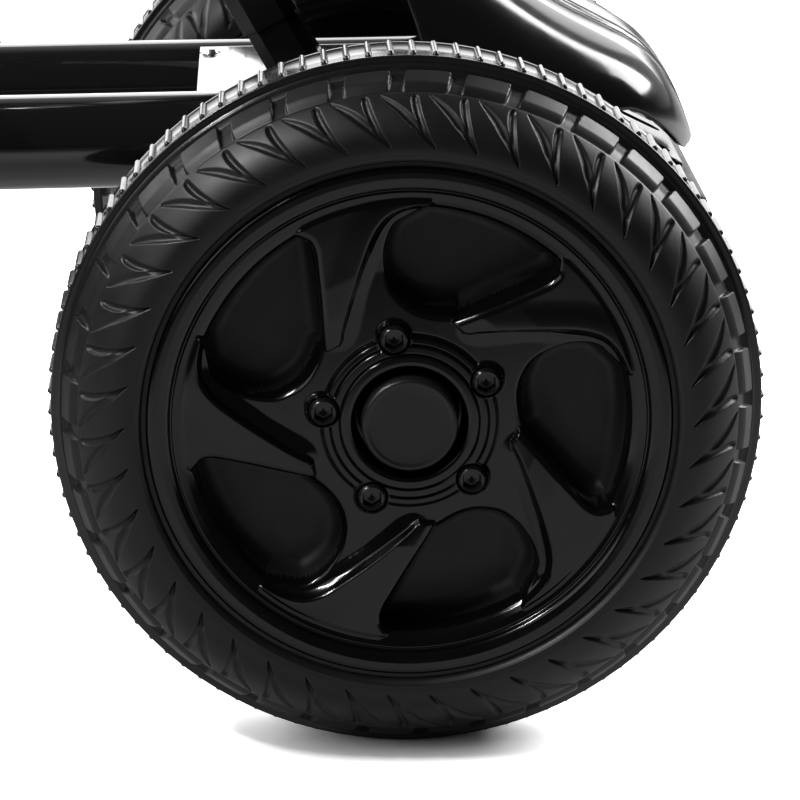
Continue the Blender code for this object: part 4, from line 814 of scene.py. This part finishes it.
# Nose, in millimetres: where its lower edge and its top start at the rear, from the front
# wheels' axis, how far each runs to the tip, and how each falls on the way
NOSE_LOW_X, NOSE_LOW_RUN = 22.0, 108.0
NOSE_TOP_X, NOSE_TOP_RUN = -14.0, 148.5
NOSE_LOW_Z, NOSE_LOW_DROP = 229.0, 29.0
NOSE_TOP_Z, NOSE_TOP_FALL, NOSE_TOP_DROP = 316.0, 80.0, 33.0
NOSE_HALF_WIDE, NOSE_TIP_HALF = 84.0, 14.0
# The tip drops past the first share of the length, and the rear swells up before the second
NOSE_DROP_FROM, NOSE_SWELL_TO, NOSE_SWELL = 0.72, 0.66, 30.0
NOSE_WALL = 2.6
# A strip stands proud along the nose's middle; the surface steps down beside it and recovers
STRIP_HALF, STEP_WIDE, STEP_DOWN, RECOVERY = 16.0, 4.0, 2.4, 30.0


def fairing_station(t):
    """Lower edge point, top point and half width of the nose at a station, 0 rear to 1 tip."""
    low_x = FRONT_X + (NOSE_LOW_X + NOSE_LOW_RUN * t) * MM
    top_x = FRONT_X + (NOSE_TOP_X + NOSE_TOP_RUN * t) * MM
    drop = max(0.0, (t - NOSE_DROP_FROM) / (1.0 - NOSE_DROP_FROM))
    swell = max(0.0, 1.0 - t / NOSE_SWELL_TO)
    low_z = (NOSE_LOW_Z - NOSE_LOW_DROP * drop ** 1.6) * MM
    top_z = (NOSE_TOP_Z + NOSE_SWELL * swell ** 2 - NOSE_TOP_FALL * t
             - NOSE_TOP_DROP * drop ** 3.5) * MM
    half_width = (NOSE_HALF_WIDE * max(1.0 - t ** 3.2, 0.0) ** 0.5 + NOSE_TIP_HALF * t) * MM
    return low_x, low_z, top_x, top_z, half_width


def build_fairing():
    """Wedge-shaped nose shell with a raised strip, open below and behind."""
    stations, girth = 90, 193
    points = []
    for i in range(stations):
        # The stations crowd towards the tip, where the outline turns
        t = 1.0 - (1.0 - i / (stations - 1)) ** 1.6
        low_x, low_z, top_x, top_z, half_width = fairing_station(t)
        strip_half = min(STRIP_HALF * MM, 0.5 * half_width)
        for j in range(girth):
            angle = math.radians(90) * (2.0 * j / (girth - 1) - 1.0)
            across = half_width * abs(math.sin(angle)) ** 0.8 * math.copysign(1.0, angle)
            rise = max(math.cos(angle), 0.0) ** 0.75
            past_strip = (abs(across) - strip_half) / MM
            step_down = min(max(past_strip / STEP_WIDE, 0.0), 1.0)
            recover = min(max((past_strip - STEP_WIDE) / RECOVERY, 0.0), 1.0)
            sunk = STEP_DOWN * MM * step_down * (1.0 - recover ** 2) * (1.0 - t ** 6)
            points.append((low_x + (top_x - low_x) * rise - 0.4 * sunk, across,
                           low_z + (top_z - low_z) * rise - sunk))
    faces = grid_faces(stations, girth, wrap_columns=False, flip=True)
    mesh = new_mesh("nose_fairing_mesh", [(points, faces, 0)], [NOSE_GLOSS])
    piece = put("nose_fairing_fine", mesh, "frame", ("nose_fairing",))
    thicken(piece, NOSE_WALL * MM, -1.0)


# ---------------------------------------------------------------- seat and steering wheel

# Seat, from its front edge to the top of its back, in millimetres: the middle line's place
# along the kart and over the ground, half width, and how far the sides stand up
SEAT_STATIONS = [(-45, 300, 86, 4), (-58, 309, 98, 10), (-80, 312, 108, 18),
                 (-140, 303, 120, 34), (-200, 293, 127, 46), (-240, 290, 130, 50),
                 (-264, 295, 131, 50), (-282, 312, 131, 48), (-296, 345, 130, 46),
                 (-310, 395, 128, 44), (-322, 450, 124, 38), (-334, 505, 114, 26),
                 (-341, 545, 102, 14), (-345, 566, 84, 5)]
SEAT_WALL, SEAT_EDGE, SEAT_EDGE_DEGREES = 3.5 * MM, 1.2 * MM, 50


def build_seat():
    """Moulded bucket seat with raised sides."""
    stations = curve(SEAT_STATIONS, 6)
    ahead = np.gradient(stations[:, :2], axis=0)
    normal = np.stack((ahead[:, 1], -ahead[:, 0]), axis=-1)
    normal /= np.linalg.norm(normal, axis=1, keepdims=True)
    columns = 61
    across = np.linspace(-1.0, 1.0, columns)
    # The power keeps the middle flat and lets the sides rise late
    lift = stations[:, 3:4] * np.abs(across) ** 2.6
    points = np.stack((stations[:, 0:1] + normal[:, 0:1] * lift,
                       stations[:, 2:3] * across,
                       stations[:, 1:2] + normal[:, 1:2] * lift), axis=-1) * MM
    faces = grid_faces(len(stations), columns, wrap_columns=False)
    mesh = new_mesh("seat_shell_mesh", [(points, faces, 0)], [SEAT_PLASTIC])
    piece = put("seat_shell_fine", mesh, "seat", ("seat_shell",))
    thicken(piece, SEAT_WALL, 1.0)
    round_edges(piece, SEAT_EDGE, SEAT_EDGE_DEGREES)


# Steering wheel: its middle stands this many millimetres up the column's axis
WHEEL_REACH = 395.0
SHAFT_BORE = 8.3 * MM
RING_R, GRIP_R = 112.0 * MM, 10.5 * MM
GRIP_SEAMS, SEAM_DEPTH, SEAM_START = 40, 0.035, 0.97


def build_steering_wheel():
    """Padded grip ring with fine seams, three spokes and the hub."""
    ring_steps, grip_steps = 160, 28
    ring = np.arange(ring_steps) * math.tau / ring_steps
    grip = np.arange(grip_steps) * math.tau / grip_steps
    on_seam = np.cos(ring * GRIP_SEAMS) > SEAM_START
    thick = GRIP_R * (1.0 - SEAM_DEPTH * on_seam)[:, None]
    radius = RING_R + thick * np.cos(grip)
    points = np.stack((radius * np.cos(ring)[:, None], radius * np.sin(ring)[:, None],
                       thick * np.sin(grip)), axis=-1)
    parts = [(points, grid_faces(ring_steps, grip_steps, wrap_rows=True), 0)]
    hub = round_corners([(SHAFT_BORE, -14.0 * MM), (27.0 * MM, -14.0 * MM), (27.0 * MM, 8.0 * MM),
                         (18.5 * MM, 8.0 * MM), (18.5 * MM, 0.0), (0.1 * MM, 0.0)], 1.5 * MM)
    parts.append(lathe(hub, 96, 1))
    for degrees in (90, 180, 270):
        parts.append(spoke_bar(math.radians(degrees)))
    mesh = new_mesh("steering_wheel_mesh", parts, [GRIP_RUBBER, SATIN_PLASTIC], 50)
    mesh.transform(Matrix.Translation(COLUMN_FOOT + COLUMN_UP * WHEEL_REACH * MM)
                   @ Matrix.Rotation(-COLUMN_TILT, 4, "Y"))
    put("steering_wheel_fine", mesh, "steering", ("steering_wheel",))


def spoke_bar(turn):
    """A flat rounded bar from the hub to the ring, waisted in the middle."""
    start, run, half_end, waist, half_thick = 22.0, 86.0, 11.0, 2.6, 3.5 * MM
    steps, around = 17, 24
    points = []
    for i in range(steps):
        t = i / (steps - 1)
        reach = (start + run * t) * MM
        half_wide = (half_end - waist * math.sin(math.pi * t)) * MM
        for j in range(around):
            bow = math.tau * j / around
            side = math.copysign(abs(math.cos(bow)) ** 0.5, math.cos(bow)) * half_wide
            up = math.copysign(abs(math.sin(bow)) ** 0.7, math.sin(bow)) * half_thick
            points.append((reach * math.cos(turn) - side * math.sin(turn),
                           reach * math.sin(turn) + side * math.cos(turn), up))
    return np.array(points), grid_faces(steps, around, flip=True), 1


# ---------------------------------------------------------------- stage

FLOOR_REACH = 12.0
FLOOR_TONES = (0.49, 0.53)
# The camera sees the floor this much lighter; for reflections and bounced light its colour is
# painted darker on the kart's right, as painted shade
FLOOR_LIFT = 3.5
FLOOR_DIM_Y, FLOOR_DIM = (-1.2, -0.7), 0.25
# White glow for the camera, which leaves a painted contact shadow: none where the kart closes off
# the sky within SHADOW_REACH, and full where the open share of it is above the second value
SHADOW_REACH, SHADOW_OPEN, GLOW = 0.07, (0.2, 0.6), 0.7
# World: dim up to the first Y of a direction, and brightest straight to the kart's left
WORLD_Y, WORLD_TONES = (0.35, 1.0), (0.04, 0.7)
# Name, place, point it faces, width and height in metres, and watts
NEAR_WHEEL_SPOT = (0.33, -0.2, 0.15)
LIGHTS = (("right_softbox", (1.77, 0.62, 1.10), NEAR_WHEEL_SPOT, (1.0, 1.0), 46.0),
          ("left_panel", (-1.30, 0.60, 0.72), NEAR_WHEEL_SPOT, (0.9, 1.4), 26.0),
          ("left_strip", (-0.78, -0.68, 1.58), NEAR_WHEEL_SPOT, (0.7, 0.08), 26.0),
          ("front_left_softbox", (-1.3, -1.4, 1.15), NEAR_WHEEL_SPOT, (1.5, 1.1), 8.0),
          ("back_panel", (0.2, 2.6, 1.1), (0.2, 0.0, 0.3), (3.4, 1.7), 40.0))
# Camera, fitted to the near wheel's circles and the slope of the rails in the photograph
CAMERA_PLACE = Vector((0.2802, -1.6077, 0.5432))
CAMERA_RIGHT = Vector((0.99920, -0.03759, -0.01381))
CAMERA_UP = Vector((0.02362, 0.27488, 0.96119))
CAMERA_SENSOR, CAMERA_LENS, CAMERA_FAR = 36.0, 167.11, 50.0


def floor_material():
    """Pale and matt; the camera sees it lifted to white where no shadow lies on it, with a painted
    contact shadow where the kart closes off the sky.
    """
    material, _, add, link = node_material("pale_floor")
    place = add("ShaderNodeTexCoord")
    speckle = add("ShaderNodeTexNoise", [("Vector", place.outputs["Object"])], Scale=3.0)
    tone = add("ShaderNodeMapRange", [("Value", speckle.outputs["Fac"])],
               **from_to(0.0, 1.0, *FLOOR_TONES))
    split = add("ShaderNodeSeparateXYZ", [("Vector", place.outputs["Object"])])
    # Painted shade: the floor's colour darkens towards the kart's right for all but camera rays
    fade = add("ShaderNodeMapRange", [("Value", split.outputs["Y"])],
               **from_to(*FLOOR_DIM_Y, FLOOR_DIM, 1.0))
    ray = add("ShaderNodeLightPath")
    level = add("ShaderNodeMix", [("Factor", ray.outputs["Is Camera Ray"]),
                                  ("A", fade.outputs["Result"])], B=FLOOR_LIFT)
    seen = add("ShaderNodeMath", [(0, tone.outputs["Result"]), (1, level.outputs["Result"])],
               operation="MULTIPLY")
    matt = add("ShaderNodeBsdfDiffuse", [("Color", seen.outputs["Value"])])
    # Painted contact shadow: ambient occlusion under the kart takes the camera's white glow away
    open_sky = add("ShaderNodeAmbientOcclusion", samples=16, Distance=SHADOW_REACH)
    clear = add("ShaderNodeMapRange", [("Value", open_sky.outputs["AO"])],
                **from_to(*SHADOW_OPEN, 0.0, GLOW))
    glow = add("ShaderNodeMath", [(0, clear.outputs["Result"]), (1, ray.outputs["Is Camera Ray"])],
               operation="MULTIPLY")
    white = add("ShaderNodeEmission", [("Strength", glow.outputs["Value"])])
    both = add("ShaderNodeAddShader", [(0, matt.outputs["BSDF"]), (1, white.outputs["Emission"])])
    output = material.node_tree.nodes["Material Output"]
    link(both.outputs["Shader"], output.inputs["Surface"])
    return material


def build_floor():
    """A wide flat floor at the height of the ground."""
    floor_mesh = bpy.data.meshes.new("floor")
    corners = [(x * FLOOR_REACH, y * FLOOR_REACH, 0)
               for x, y in ((-1, -1), (1, -1), (1, 1), (-1, 1))]
    floor_mesh.from_pydata(corners, [], [(0, 1, 2, 3)])
    floor_mesh.materials.append(floor_material())
    floor = bpy.data.objects.new("floor", floor_mesh)
    bpy.context.scene.collection.objects.link(floor)


def area_light(name, place, aim, size, energy):
    """A lamp with a flat rectangular face that the camera doesn't see."""
    data = bpy.data.lights.new(name, "AREA")
    data.shape = "RECTANGLE"
    data.size, data.size_y = size
    data.energy = energy
    light = bpy.data.objects.new(name, data)
    light.location = place
    light.rotation_euler = (Vector(aim) - Vector(place)).to_track_quat("-Z", "Y").to_euler()
    light.visible_camera = False
    bpy.context.scene.collection.objects.link(light)


def build_world():
    """Studio surround: bright on the kart's left, which the camera looks towards."""
    world = bpy.data.worlds.new("studio")
    bpy.context.scene.world = world
    world.use_nodes = True
    background = world.node_tree.nodes["Background"]
    add, link = node_tools(world.node_tree)
    place = add("ShaderNodeTexCoord")
    split = add("ShaderNodeSeparateXYZ", [("Vector", place.outputs["Generated"])])
    ramp = add("ShaderNodeMapRange", [("Value", split.outputs["Y"])],
               **from_to(*WORLD_Y, *WORLD_TONES))
    link(ramp.outputs["Result"], background.inputs["Color"])
    background.inputs["Strength"].default_value = 1.0


def build_camera():
    """The camera at the photograph's place and angle."""
    data = bpy.data.cameras.new("camera")
    data.sensor_width = CAMERA_SENSOR
    data.lens = CAMERA_LENS
    data.clip_end = CAMERA_FAR
    camera = bpy.data.objects.new("camera", data)
    back = CAMERA_RIGHT.cross(CAMERA_UP)
    matrix = Matrix((CAMERA_RIGHT, CAMERA_UP, back)).transposed().to_4x4()
    matrix.translation = CAMERA_PLACE
    camera.matrix_world = matrix
    bpy.context.scene.collection.objects.link(camera)
    bpy.context.scene.camera = camera


build_camera()
build_world()
build_floor()
for lamp in LIGHTS:
    area_light(*lamp)
build_wheels()
build_rails()
build_fairing()
build_seat()
build_steering_wheel()
for dressing, nodes in DRESSED.items():
    for node_name, edge_mm in nodes:
        dressed(node_name, dressing, edge_mm * MM)

bpy.context.scene.view_settings.view_transform = "Standard"
